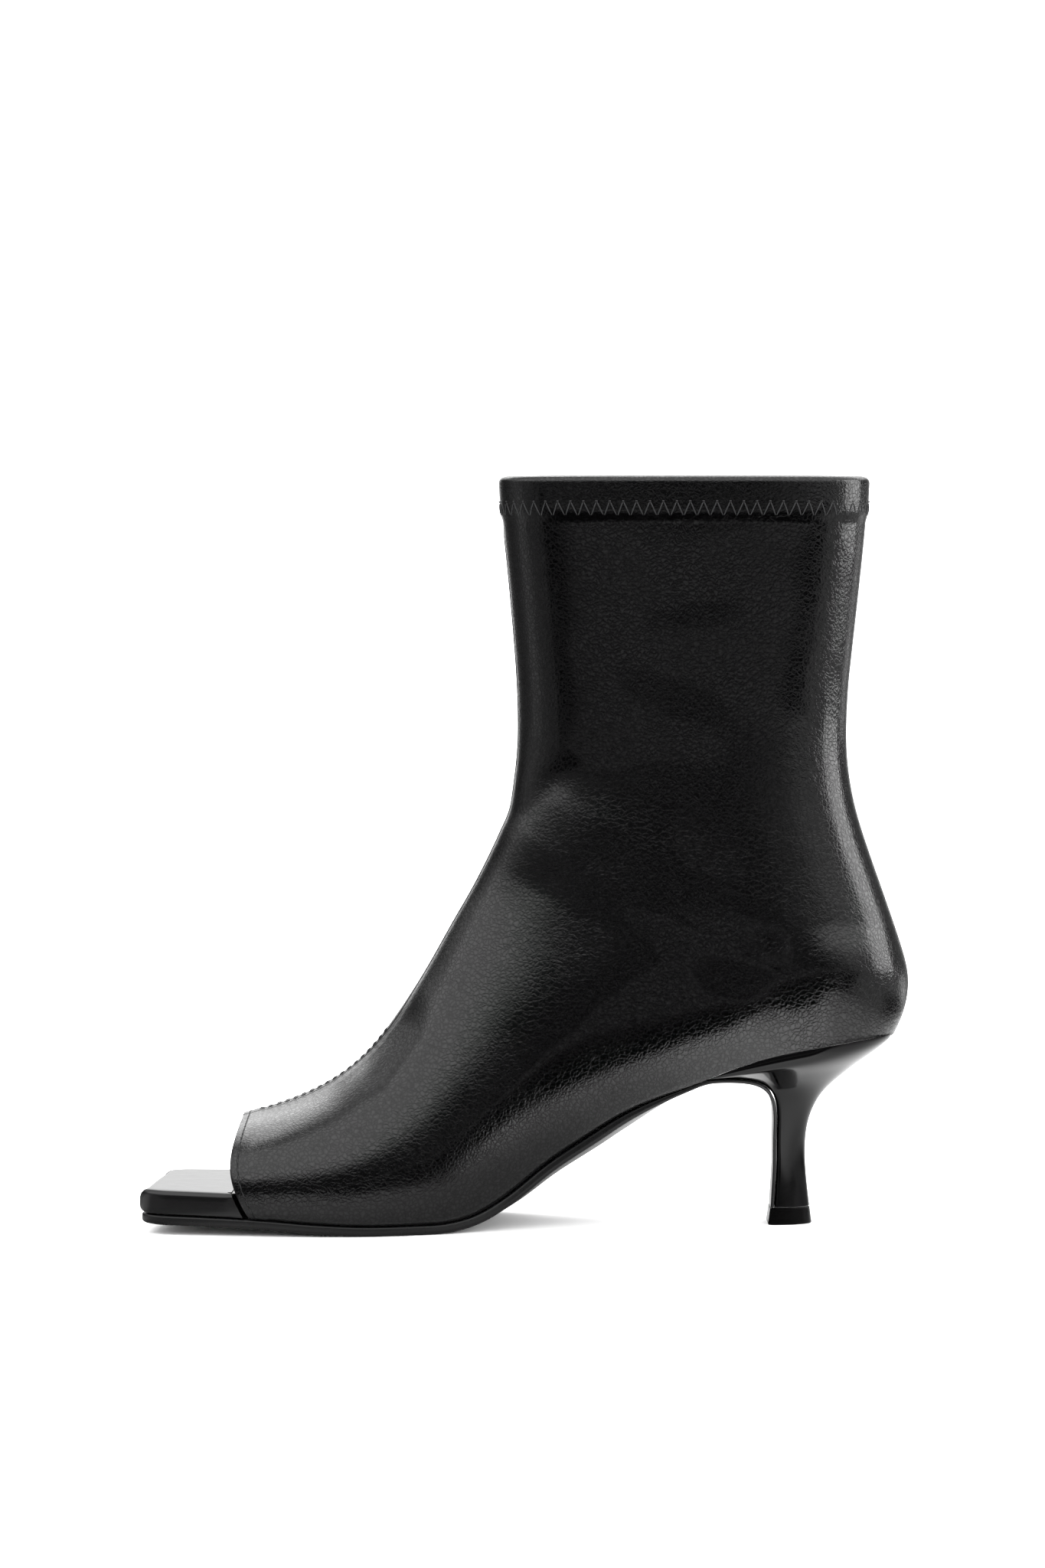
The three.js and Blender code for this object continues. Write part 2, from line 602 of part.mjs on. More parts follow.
function flapRing(row) {
  const normal = breastNormal(row);
  return ringOf(outsoleProfile(flapThickness, 0), (across, inset, depth) => {
    const half = breastHalf(row, Math.sign(across)) - inset;
    const place = breastLine[row].clone().addScaledVector(normal, depth);
    return new THREE.Vector3(place.x, across * half, place.y - across * breastTilt(row));
  });
}

function outsoleGeometry() {
  const sheet = stations.filter((along) => along >= exitShare);
  return loft([...sheet.map(soleRing), ...breastLine.map((_, row) => flapRing(row))], uprightEnd);
}

// The heel

// Half width of a plain heel section, share from 0 at the breast to 1 at the back.
function columnProfile(share) {
  const corner = 1 - 0.12 * Math.max(1 - share / 0.12, 0) ** 2;
  return corner * Math.sqrt(1 - share ** 2.4);
}

// The seat's outline at a share of the way from the heel's tip to its back.
function seatPoint(share, side, inset) {
  const point = edgePoint(heelTip * (1 - share), side, inset);
  return new THREE.Vector3(point.x, point.y, soleTop(point.x, point.y));
}

// Shares of the way back along a heel section, from the tip's station to the seat's back.
const heelShares = stations.filter((along) => along <= heelTip).map((along) => 1 - along / heelTip);

function seatRing(inset) {
  const inner = heelShares.map((share) => seatPoint(share, -1, inset));
  const outer = heelShares.map((share) => seatPoint(share, 1, inset));
  return [...inner, ...outer.reverse()];
}

function heelRing(row) {
  const { back, backUp, spread } = heelTable[row];
  const away = breastNormal(row).multiplyScalar(-gap);
  const front = breastLine[row].clone().add(away);
  const rear = new THREE.Vector2(mix(columnBackX, seatBackX, back), mix(columnFootZ, heelHeight, backUp));
  const side = (sign) => heelShares.map((share) => {
    const seat = seatPoint(share, sign, outsoleInset).y / seatPoint(0, sign, outsoleInset).y;
    const half = breastHalf(row, sign) * mix(columnProfile(share), seat, spread);
    const tilt = sign * breastTilt(row) * (1 - share);
    return new THREE.Vector3(mix(front.x, rear.x, share), sign * half, mix(front.y, rear.y, share) - tilt);
  });
  return [...side(-1), ...side(1).reverse()];
}

function heelGeometry() {
  return loft([seatRing(outsoleInset), ...heelTable.map((_, row) => heelRing(row))], levelEnd);
}

// The top-lift

function liftRing(height, taper) {
  const front = breastX - liftOverhang + taper;
  const depth = liftDepth - 2 * taper;
  const half = liftWidth / 2 - taper;
  const side = (sign) => heelShares.map((share) => (
    new THREE.Vector3(front + share * depth, sign * half * columnProfile(share), height)));
  return [...side(-1), ...side(1).reverse()];
}

function liftGeometry() {
  return loft([liftRing(liftHeight, liftTaper), liftRing(0, 0)], levelEnd);
}

// The boot

function piece(name, geometry, color, roughness) {
  const mesh = new THREE.Mesh(geometry, new THREE.MeshStandardMaterial({ color, roughness, metalness: 0 }));
  mesh.name = name;
  return mesh;
}

const boot = new THREE.Group();
boot.add(
  piece('upper', upperGeometry(), 0x0c0c0d, 0.25),
  piece('footbed', footbedGeometry(), 0x141416, 0.3),
  piece('outsole', outsoleGeometry(), 0x222224, 0.4),
  piece('heel', heelGeometry(), 0x08080a, 0.12),
  piece('top_lift', liftGeometry(), 0x0a0a0a, 0.5),
);

// The origin is the middle of the box that the boot fills, on the floor.
const middle = new THREE.Box3().setFromObject(boot).getCenter(new THREE.Vector3());
boot.position.set(-middle.x, -middle.y, 0);

export default boot;
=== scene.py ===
import math

import bmesh
import bpy
import numpy as np
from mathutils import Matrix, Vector


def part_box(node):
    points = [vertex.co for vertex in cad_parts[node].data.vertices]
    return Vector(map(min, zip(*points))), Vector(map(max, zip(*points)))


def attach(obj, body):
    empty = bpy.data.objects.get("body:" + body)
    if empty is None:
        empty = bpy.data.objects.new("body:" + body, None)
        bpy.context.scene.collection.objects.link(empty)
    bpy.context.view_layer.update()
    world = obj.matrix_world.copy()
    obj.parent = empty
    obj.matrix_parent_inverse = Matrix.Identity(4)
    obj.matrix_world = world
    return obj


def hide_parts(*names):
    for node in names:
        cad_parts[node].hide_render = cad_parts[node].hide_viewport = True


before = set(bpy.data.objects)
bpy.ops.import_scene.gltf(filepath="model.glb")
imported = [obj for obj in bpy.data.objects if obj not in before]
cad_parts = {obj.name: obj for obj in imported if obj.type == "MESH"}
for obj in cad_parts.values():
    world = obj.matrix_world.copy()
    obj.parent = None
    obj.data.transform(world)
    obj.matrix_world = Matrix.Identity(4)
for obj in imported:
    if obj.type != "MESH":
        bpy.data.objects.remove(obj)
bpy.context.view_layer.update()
print("frame loaded:", ", ".join(sorted(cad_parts)))

# The boot is worked out in millimetres, toe towards -X, inner side at -Y, and put into the
# frame's metres when a mesh is made.

boot = {
    "bootLength": 243.5,
    "heelHeight": 61.0,
    "shaftHeight": 177.0,
    "heelTuck": 4.0,           # how far the counter swells past the seat
    "openingSetback": 32.0,    # toe tip to the top of the toe opening
    "openingHeight": 31.6,
    "openingBow": 3.8,
    "ankleHeight": 95.0,
    "ankleDepth": 104.2,
    "ankleSetback": 20.0,
    "collarDepth": 117.0,
    "collarSetback": 13.0,
    "vampWidth": 83.0,
    "counterWidth": 62.0,
    "ankleWidth": 57.0,
    "collarWidth": 59.0,
    "toeWidth": 61.0,
    "ballWidth": 77.5,
    "waistWidth": 49.0,
    "seatWidth": 54.0,
    "toeCorner": 9.0,
    "toeSlant": 4.0,
    "outsoleThickness": 3.2,
    "toeSpring": 3.4,
    "archLift": 5.0,
    "gap": 0.3,
}

toeX = -boot["bootLength"] / 2
counterX = boot["bootLength"] / 2
seatBackX = counterX - boot["heelTuck"]
soleLength = seatBackX - toeX
openingX = toeX + boot["openingSetback"]
openingZ = boot["outsoleThickness"] + boot["openingHeight"]
ankleBackX = counterX - boot["ankleSetback"]
ankleFrontX = ankleBackX - boot["ankleDepth"]
ankleZ = boot["heelHeight"] + boot["ankleHeight"]
collarBackX = counterX - boot["collarSetback"]
collarFrontX = collarBackX - boot["collarDepth"]
collarZ = boot["heelHeight"] + boot["shaftHeight"]

# The top-lift is even about the foot's middle line, so its box says where that line lies.
liftLow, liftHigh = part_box("top_lift")
middleY = (liftLow.y + liftHigh.y) / 2


def toMetres(points):
    # (x, y, z) in millimetres about the foot's middle line to the frame's metres.
    return np.asarray(points, float) * 0.001 + np.array([0.0, middleY, 0.0])


# Camera

camera = {
    "distance": 1.7,      # camera to the boot's middle line
    "height": 0.208,
    "aside": -0.0011,
    "dip": 2.28,          # degrees below the horizon
    "lens": 122.5,
    "sensor": 36.0,
}


def makeCamera():
    data = bpy.data.cameras.new("camera")
    data.lens = camera["lens"]
    data.sensor_fit = "AUTO"
    data.sensor_width = camera["sensor"]
    data.clip_start = 0.05
    data.clip_end = 50
    thing = bpy.data.objects.new("camera", data)
    thing.location = (camera["aside"], middleY - camera["distance"], camera["height"])
    thing.rotation_euler = (math.radians(90 - camera["dip"]), 0, 0)
    bpy.context.scene.collection.objects.link(thing)
    bpy.context.scene.camera = thing


makeCamera()
print("camera set")

# Numbers and curves


def table(columns, rows):
    # Rows of numbers under the names of their columns.
    return [dict(zip(columns.split(), row)) for row in rows]


def mix(start, end, share):
    return start + (end - start) * share


def ramp(value, start, end):
    # 0 before start, 1 after end, 3t2 - 2t3 between.
    share = np.clip((value - start) / (end - start), 0, 1)
    return share * share * (3 - 2 * share)


def bell(value, width):
    # A bell of height 1 that falls to 0.6 at width.
    return np.exp(-0.5 * (value / width) ** 2)


def tableCurve(rows, place, column):
    # A cubic through one column of a table, with slopes that never let it overshoot its rows.
    knots = [row for row in rows if column in row]
    xs = np.array([row[place] for row in knots], float)
    ys = np.array([row[column] for row in knots], float)
    grades = np.diff(ys) / np.diff(xs)
    before = np.concatenate([grades[:1], grades])
    after = np.concatenate([grades, grades[-1:]])
    total = np.where(before + after == 0, 1, before + after)
    slopes = np.where(before * after > 0, 2 * before * after / total, 0)

    def value(at):
        inside = np.clip(at, xs[0], xs[-1])
        i = np.clip(np.searchsorted(xs, inside), 1, len(xs) - 1)
        span = xs[i] - xs[i - 1]
        t = (inside - xs[i - 1]) / span
        bends = slopes[i - 1] * span * t * (1 - t) ** 2 + slopes[i] * span * t * t * (t - 1)
        return mix(ys[i - 1], ys[i], t * t * (3 - 2 * t)) + bends

    return value


def softened(curve, start, end, width):
    # The curve's mean under a bell of that width. It is turned about its end points beyond
    # them, so the ends stay where they are.
    step = width / 40
    reach = np.arange(-160, 161)
    xs = np.arange(start - 4 * width, end + 4 * width, step)
    low = 2 * curve(np.array(start)) - curve(np.clip(2 * start - xs, start, end))
    high = 2 * curve(np.array(end)) - curve(np.clip(2 * end - xs, start, end))
    values = np.where(xs < start, low, np.where(xs > end, high, curve(np.clip(xs, start, end))))
    weights = bell(reach * step, width)
    smooth = np.convolve(values, weights / weights.sum(), "same")
    inside = (xs >= start - step) & (xs <= end + step)
    return lambda at: np.interp(np.clip(at, start, end), xs[inside], smooth[inside])


def splineRows(rings, places, at):
    # A natural cubic spline through rings of points, evaluated at other places between them.
    places = np.asarray(places, float)
    span = np.diff(places)
    count = len(places)
    grades = np.diff(rings, axis=0) / span[:, None, None]
    matrix = np.eye(count)
    right = np.zeros_like(rings)
    inner = np.arange(1, count - 1)
    matrix[inner, inner - 1] = span[:-1]
    matrix[inner, inner] = 2 * (span[:-1] + span[1:])
    matrix[inner, inner + 1] = span[1:]
    right[inner] = 6 * (grades[1:] - grades[:-1])
    bends = np.linalg.solve(matrix, right.reshape(count, -1)).reshape(rings.shape)
    i = np.clip(np.searchsorted(places, at) - 1, 0, count - 2)
    h = span[i][:, None, None]
    a = ((places[i + 1] - at) / span[i])[:, None, None]
    b = 1 - a
    bowed = (a ** 3 - a) * bends[i] + (b ** 3 - b) * bends[i + 1]
    return a * rings[i] + b * rings[i + 1] + bowed * h * h / 6


# The sole's outline and the surface on top of the outsole. along is a share of the sole's length
# from the seat to the toe, rise a share of the climb from the tread to the seat, spring of
# toeSpring, lift of archLift, and inner the inner side's share of the width.

soleTable = table("along rise spring lift inner", [
    (0, 1, 0, 0, 0.5),
    (0.034, 0.991, 0, 0, 0.5),
    (0.085, 0.965, 0, 0, 0.5),
    (0.126, 0.934, 0, 0, 0.497),
    (0.166, 0.899, 0, 0, 0.494),
    (0.212, 0.837, 0, 0.15, 0.488),
    (0.263, 0.736, 0, 0.45, 0.475),
    (0.314, 0.641, 0, 0.8, 0.46),
    (0.3645, 0.536, 0, 1, 0.445),
    (0.415, 0.404, 0, 0.96, 0.438),
    (0.466, 0.272, 0, 0.8, 0.436),
    (0.517, 0.116, 0, 0.52, 0.445),
    (0.568, 0.017, 0, 0.22, 0.47),
    (0.608, 0, 0, 0, 0.489),
    (0.69, 0, 0, 0, 0.512),
    (0.76, 0, 0.2, 0, 0.525),
    (0.852, 0, 0.68, 0, 0.541),
    (1, 0, 1, 0, 0.558),
])
widthTable = table("along width", [
    (0, boot["seatWidth"]),
    (0.13, boot["seatWidth"]),
    (0.42, boot["waistWidth"]),
    (0.72, boot["ballWidth"]),
    (1, boot["toeWidth"]),
])
soleBlur = 0.012
soleRise, soleSpring, soleLift, innerShare = [
    softened(tableCurve(soleTable, "along", column), 0, 1, soleBlur)
    for column in ("rise", "spring", "lift", "inner")
]
outlineWidth = softened(tableCurve(widthTable, "along", "width"), 0, 1, soleBlur)


def shareAt(x):
    return (seatBackX - x) / soleLength


def halfWidth(along, side):
    # Half the outline's width on one side, less the seat's round end and the toe's round corners.
    inner = innerShare(along)
    width = outlineWidth(along) * np.where(np.asarray(side) < 0, inner, 1 - inner)
    seatRadius = boot["seatWidth"] / 2
    backShort = np.clip(seatRadius - np.maximum(along, 0) * soleLength, 0, None) / seatRadius
    toeShort = np.clip(boot["toeCorner"] - np.maximum(1 - along, 0) * soleLength, 0, None)
    corner = boot["toeCorner"] - np.sqrt(boot["toeCorner"] ** 2 - toeShort ** 2)
    return width * np.sqrt(1 - backShort ** 2) - corner


def soleTop(x, y):
    # The climb to the seat, tilted across by the arch.
    along = shareAt(x)
    climb = (boot["heelHeight"] - boot["outsoleThickness"]) * soleRise(along)
    inner, outer = halfWidth(along, -1), halfWidth(along, 1)
    aside = y - (outer - inner) / 2
    tilt = boot["archLift"] * soleLift(along) * aside / np.maximum(inner + outer, 1)
    return boot["outsoleThickness"] + boot["toeSpring"] * soleSpring(along) + climb - tilt


def outlinePoint(along, side):
    slant = np.where(side > 0, boot["toeSlant"] * ramp(along, 0.75, 1), 0)
    return np.stack([seatBackX - along * soleLength + slant, side * halfWidth(along, side)], -1)


def bothSides(make):
    # A closed ring from the points of the inner side and back along those of the outer side.
    return np.concatenate([make(-1.0), make(1.0)[::-1]])


def edgePoint(along, side, inset):
    # A point on the outline, moved square to it towards the inside.
    along, side, inset = np.broadcast_arrays(along, side, np.asarray(inset, float))
    nudge = 1e-4
    run = outlinePoint(along + nudge, side) - outlinePoint(along - nudge, side)
    run = run / np.linalg.norm(run, axis=-1, keepdims=True)
    inward = np.stack([-side * run[..., 1], side * run[..., 0]], -1)
    inward[along <= 0] = (-1, 0)
    inward[along >= 1] = (1, 0)
    return outlinePoint(along, side) + inward * inset[..., None]


def solePoint(along, across, inset, depth):
    # A point over the outline, across from -1 to 1, and depth square below the outsole's upper face.
    inner = edgePoint(along, -1.0, inset)
    outer = edgePoint(along, 1.0, inset)
    x = mix(inner[..., 0], outer[..., 0], (across + 1) / 2)
    y = np.where(across < 0, -across * inner[..., 1], across * outer[..., 1])
    nudge = 0.05
    slope = (soleTop(x + nudge, 0) - soleTop(x - nudge, 0)) / (2 * nudge)
    length = np.hypot(slope, 1)
    return np.stack([x + slope / length * depth, y, soleTop(x, y) - depth / length], -1)


# Meshes


def addMesh(name, points, faces, materials, uvs=None, values=None, slots=None, sharp=50):
    # One closed mesh from points in millimetres and lists of faces. Points that meet are merged,
    # faces that have shrunk to a line go, and all faces are turned outwards together.
    mesh = bpy.data.meshes.new(name)
    lists = [row for block in faces for row in np.asarray(block).tolist()]
    mesh.from_pydata(toMetres(points).tolist(), [], lists)
    corners = np.zeros(len(mesh.loops), np.int32)
    mesh.loops.foreach_get("vertex_index", corners)
    if uvs is not None:
        layer = mesh.uv_layers.new(name="surface")
        layer.data.foreach_set("uv", np.asarray(uvs, np.float32)[corners].ravel())
    for key, column in (values or {}).items():
        attribute = mesh.attributes.new(key, "FLOAT", "POINT")
        attribute.data.foreach_set("value", np.asarray(column, np.float32))
    if slots is not None:
        mesh.polygons.foreach_set("material_index", np.asarray(slots, np.int32))
    for material in materials:
        mesh.materials.append(material)
    work = bmesh.new()
    work.from_mesh(mesh)
    bmesh.ops.remove_doubles(work, verts=work.verts, dist=2e-6)
    bmesh.ops.dissolve_degenerate(work, edges=work.edges, dist=1e-7)
    if work.calc_volume(signed=True) < 0:
        bmesh.ops.reverse_faces(work, faces=work.faces)
    work.to_mesh(mesh)
    work.free()
    mesh.polygons.foreach_set("use_smooth", np.ones(len(mesh.polygons), bool))
    mesh.set_sharp_from_angle(angle=math.radians(sharp))
    mesh.update()
    thing = bpy.data.objects.new(name, mesh)
    bpy.context.scene.collection.objects.link(thing)
    return thing


def ringFaces(rows, columns):
    # Four-sided faces between rings of points, the last column joined to the first.
    i = np.arange(rows - 1)[:, None] * columns
    j = np.arange(columns)[None, :]
    k = (j + 1) % columns
    quads = np.stack([i + j, i + columns + j, i + columns + k, i + k], -1)
    return quads.reshape(-1, 4)


def loftMesh(name, rings, materials, capEnd=True, sharp=50):
    # A tube through closed rings of points, with flat ends.
    count, columns = rings.shape[:2]
    faces = [ringFaces(count, columns), np.arange(columns)[None, :]]
    if capEnd:
        faces.append((np.arange(columns)[::-1] + (count - 1) * columns)[None, :])
    return addMesh(name, rings.reshape(-1, 3), faces, materials, sharp=sharp)


def finished(thing, node):
    # node is the CAD node that the piece stands for, and empty for a piece that adds to one.
    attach(thing, "root")
    if node:
        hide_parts(node)
    return thing


# Shader helpers


def socketNode(tree, kind, **values):
    node = tree.nodes.new(kind)
    for key, value in values.items():
        setattr(node, key, value)
    return node


def feed(tree, socket, value):
    # A number is set on the socket, an output is linked to it.
    if isinstance(value, (int, float)):
        socket.default_value = value
    else:
        tree.links.new(value, socket)


def mathNode(tree, operation, first, second=None, third=None, clamp=False):
    node = socketNode(tree, "ShaderNodeMath", operation=operation, use_clamp=clamp)
    for socket, value in zip(node.inputs, (first, second, third)):
        if value is not None:
            feed(tree, socket, value)
    return node.outputs[0]


def noiseNode(tree, vector, scale, detail, roughness=0.5):
    node = tree.nodes.new("ShaderNodeTexNoise")
    node.inputs["Scale"].default_value = scale
    node.inputs["Detail"].default_value = detail
    node.inputs["Roughness"].default_value = roughness
    tree.links.new(vector, node.inputs["Vector"])
    return node


def smoothRange(tree, value, fromMin, fromMax, toMin, toMax):
    # From toMin up to fromMin to toMax from fromMax on, with soft ends.
    node = socketNode(tree, "ShaderNodeMapRange", interpolation_type="SMOOTHSTEP")
    places = {"From Min": fromMin, "From Max": fromMax, "To Min": toMin, "To Max": toMax}
    for key, place in places.items():
        node.inputs[key].default_value = place
    tree.links.new(value, node.inputs["Value"])
    return node.outputs[0]


def mixNode(tree, factor, start, end):
    node = socketNode(tree, "ShaderNodeMix", data_type="FLOAT")
    for key, value in (("Factor", factor), ("A", start), ("B", end)):
        feed(tree, node.inputs[key], value)
    return node.outputs["Result"]


def grooveNode(tree, distance, place, half):
    # 1 on a line at that distance, down to 0 half a groove beside it.
    off = mathNode(tree, "ABSOLUTE", mathNode(tree, "SUBTRACT", distance, place))
    return smoothRange(tree, off, 0.3 * half, half, 1.0, 0.0)


def scaledBy(tree, vector, value):
    node = socketNode(tree, "ShaderNodeVectorMath", operation="SCALE")
    tree.links.new(vector, node.inputs[0])
    feed(tree, node.inputs["Scale"], value)
    return node.outputs[0]


def makeGroup(name, inputs, outputs):
    group = bpy.data.node_groups.new(name, "ShaderNodeTree")
    for label, kind, value in inputs:
        socket = group.interface.new_socket(label, in_out="INPUT", socket_type=kind)
        if value is not None:
            socket.default_value = value
    for label, kind in outputs:
        group.interface.new_socket(label, in_out="OUTPUT", socket_type=kind)
    start = group.nodes.new("NodeGroupInput")
    end = group.nodes.new("NodeGroupOutput")
    return group, start, end


def makeLeatherGrain():
    # Fine creased grain: domed cells pulled about by noise, veins where a patch is creased, and
    # softer waves under them. Cell and Wave are sizes in metres. Pebbles is 0 in the crevices
    # between the cells and 1 on their domes.
    group, start, end = makeGroup(
        "leatherGrain",
        [("Vector", "NodeSocketVector", None), ("Cell", "NodeSocketFloat", 0.001),
         ("Wave", "NodeSocketFloat", 0.008), ("Creasing", "NodeSocketFloat", 0.5)],
        [("Height", "NodeSocketFloat"), ("Patches", "NodeSocketFloat"), ("Pebbles", "NodeSocketFloat")],
    )
    place = start.outputs["Vector"]
    perCell = mathNode(group, "DIVIDE", 1.0, start.outputs["Cell"])
    perWave = mathNode(group, "DIVIDE", 1.0, start.outputs["Wave"])
    fine = scaledBy(group, place, perCell)
    broad = scaledBy(group, place, perWave)
    warp = noiseNode(group, fine, 0.7, 2.0)
    shift = scaledBy(group, warp.outputs["Color"], 1.4)
    pulled = socketNode(group, "ShaderNodeVectorMath", operation="ADD")
    group.links.new(fine, pulled.inputs[0])
    group.links.new(shift, pulled.inputs[1])
    cells = group.nodes.new("ShaderNodeTexVoronoi")
    cells.feature = "DISTANCE_TO_EDGE"
    cells.inputs["Scale"].default_value = 1.0
    group.links.new(pulled.outputs[0], cells.inputs["Vector"])
    domes = mathNode(group, "MULTIPLY", cells.outputs["Distance"], 2.2, clamp=True)
    pebble = mathNode(group, "POWER", domes, 0.6)
    waves = noiseNode(group, broad, 1.0, 1.0, 0.4)
    patches = noiseNode(group, broad, 0.31, 2.0, 0.5)
    creased = smoothRange(group, patches.outputs["Fac"], 0.45, 0.66, 0.0, 1.0)
    lines = noiseNode(group, fine, 0.5, 3.0, 0.6)
    veins = mathNode(group, "ABSOLUTE", mathNode(group, "SUBTRACT", lines.outputs["Fac"], 0.5))
    vein = mathNode(group, "MULTIPLY", veins, 8.0, clamp=True)
    strength = mathNode(group, "MULTIPLY", start.outputs["Creasing"], creased)
    detail = mathNode(group, "MULTIPLY_ADD", vein, strength, mathNode(group, "MULTIPLY", pebble, 0.5))
    height = mathNode(group, "MULTIPLY_ADD", waves.outputs["Fac"], 0.8, detail)
    group.links.new(height, end.inputs["Height"])
    group.links.new(creased, end.inputs["Patches"])
    group.links.new(pebble, end.inputs["Pebbles"])
    return group


leatherGrain = makeLeatherGrain()


def makeMaterial(name, color, roughness, coat=0.0, coatRoughness=0.1, specular=0.5):
    material = bpy.data.materials.new(name)
    material.use_nodes = True
    material.diffuse_color = (*color, 1)
    shader = material.node_tree.nodes["Principled BSDF"]
    looks = {"Base Color": (*color, 1), "Roughness": roughness, "Coat Weight": coat,
             "Coat Roughness": coatRoughness, "Specular IOR Level": specular}
    for key, value in looks.items():
        shader.inputs[key].default_value = value
    return material, material.node_tree, shader


def objectPlace(tree):
    return tree.nodes.new("ShaderNodeTexCoord").outputs["Object"]


def addBump(tree, shader, height, depth):
    # depth is the height of the relief in metres for a height value of 1.
    bump = tree.nodes.new("ShaderNodeBump")
    bump.inputs["Strength"].default_value = 1.0
    bump.inputs["Distance"].default_value = depth
    tree.links.new(height, bump.inputs["Height"])
    tree.links.new(bump.outputs["Normal"], shader.inputs["Normal"])


upperLook = {
    "color": (0.0004, 0.0004, 0.0005),
    "roughness": (0.1, 0.15),       # on smooth and on creased patches
    "coat": (0.0, 0.75),            # in the grain's crevices and on its pebbles
    "coatRoughness": 0.05,
    "cell": 0.0014,
    "wave": 0.0085,
    "creasing": 0.4,
    "depth": 0.000105,
    "hemLine": 0.0018,              # grooves under the toe opening's stitches and along the seam
    "seamLine": 0.0033,
    "seamEnd": 0.15,                # run of the seam's groove up from the opening
    "seamFade": 0.02,
    "groove": 0.0003,               # half the width of a groove
    "grooveDepth": 1.6,             # in the grain's own height
    "grooveRoughness": 0.5,
}


def makeUpperLeather():
    look = upperLook
    material, tree, shader = makeMaterial(
        "upper_leather", look["color"], look["roughness"][0], look["coat"][1], look["coatRoughness"])
    grain = tree.nodes.new("ShaderNodeGroup")
    grain.node_tree = leatherGrain
    for key in ("Cell", "Wave", "Creasing"):
        grain.inputs[key].default_value = look[key.lower()]
    tree.links.new(objectPlace(tree), grain.inputs["Vector"])
    rough = socketNode(tree, "ShaderNodeMapRange")
    rough.inputs["To Min"].default_value, rough.inputs["To Max"].default_value = look["roughness"]
    tree.links.new(grain.outputs["Patches"], rough.inputs["Value"])
    # The two grooves, by the distance from the toe opening and from the vamp's ridge.
    hem = socketNode(tree, "ShaderNodeAttribute", attribute_name="hem")
    surface = tree.nodes.new("ShaderNodeSeparateXYZ")
    tree.links.new(socketNode(tree, "ShaderNodeUVMap", uv_map="surface").outputs[0], surface.inputs[0])
    fromRidge = mathNode(tree, "ABSOLUTE", surface.outputs["X"])
    hemGroove = grooveNode(tree, hem.outputs["Fac"], look["hemLine"], look["groove"])
    seamGroove = grooveNode(tree, fromRidge, look["seamLine"], look["groove"])
    seamTop = look["seamEnd"] + look["seamFade"]
    upTo = smoothRange(tree, surface.outputs["Y"], look["seamEnd"], seamTop, 1.0, 0.0)
    groove = mathNode(tree, "MAXIMUM", hemGroove, mathNode(tree, "MULTIPLY", seamGroove, upTo))
    worn = mixNode(tree, groove, rough.outputs[0], look["grooveRoughness"])
    tree.links.new(worn, shader.inputs["Roughness"])
    coat = mixNode(tree, grain.outputs["Pebbles"], *look["coat"])
    tree.links.new(mixNode(tree, groove, coat, 0.0), shader.inputs["Coat Weight"])
    height = mathNode(tree, "MULTIPLY_ADD", groove, -look["grooveDepth"], grain.outputs["Height"])
    addBump(tree, shader, height, look["depth"])
    return material


def makePlainMaterial(name, color, roughness, coat, coatRoughness, wave, depth, specular=0.5):
    # A smooth moulded or lacquered finish with a faint orange-peel relief.
    material, tree, shader = makeMaterial(name, color, roughness, coat, coatRoughness, specular)
    noise = noiseNode(tree, objectPlace(tree), 1 / wave, 3.0, 0.5)
    rough = socketNode(tree, "ShaderNodeMapRange")
    rough.inputs["To Min"].default_value = roughness * 0.85
    rough.inputs["To Max"].default_value = roughness * 1.2
    tree.links.new(noise.outputs["Fac"], rough.inputs["Value"])
    tree.links.new(rough.outputs[0], shader.inputs["Roughness"])
    addBump(tree, shader, noise.outputs["Fac"], depth)
    return material


upperLeather = makeUpperLeather()
# Name, color, roughness, coat, its roughness, size and depth of the relief in metres, specular.
liningCloth = makePlainMaterial("lining", (0.012, 0.012, 0.012), 0.75, 0.0, 0.3, 0.0006, 0.0001)
threadFinish = makePlainMaterial("thread", (0.016, 0.016, 0.017), 0.42, 0.0, 0.3, 0.0004, 0.00003)
footbedLeather = makePlainMaterial(
    "footbed_leather", (0.002, 0.002, 0.0022), 0.16, 0.3, 0.06, 0.004, 0.00006)
soleRubber = makePlainMaterial("outsole", (0.003, 0.003, 0.0032), 0.28, 0.1, 0.25, 0.002, 0.00005)
heelLacquer = makePlainMaterial(
    "heel_lacquer", (0.0008, 0.0008, 0.0009), 0.12, 0.0, 0.06, 0.012, 0.00004, 0.32)
liftRubber = makePlainMaterial(
    "top_lift", (0.0008, 0.0008, 0.0008), 0.22, 0.0, 0.3, 0.001, 0.00003, 0.1)
print("materials made")


# Upper. Each section is an oval on a chord that fans round the instep, from its base on the sole
# or on the back of the boot to the ridge of the vamp or the front of the shaft. ridge and ridgeUp
# run from 0 at the opening over 1 at the ankle to 2 at the collar, back and backUp from 0 at the
# counter and the seat over 1 at the ankle to 2 at the collar, and girth from 0 at the vamp's
# width over 1 at the counter's and 2 at the ankle's to 3 at the collar's.

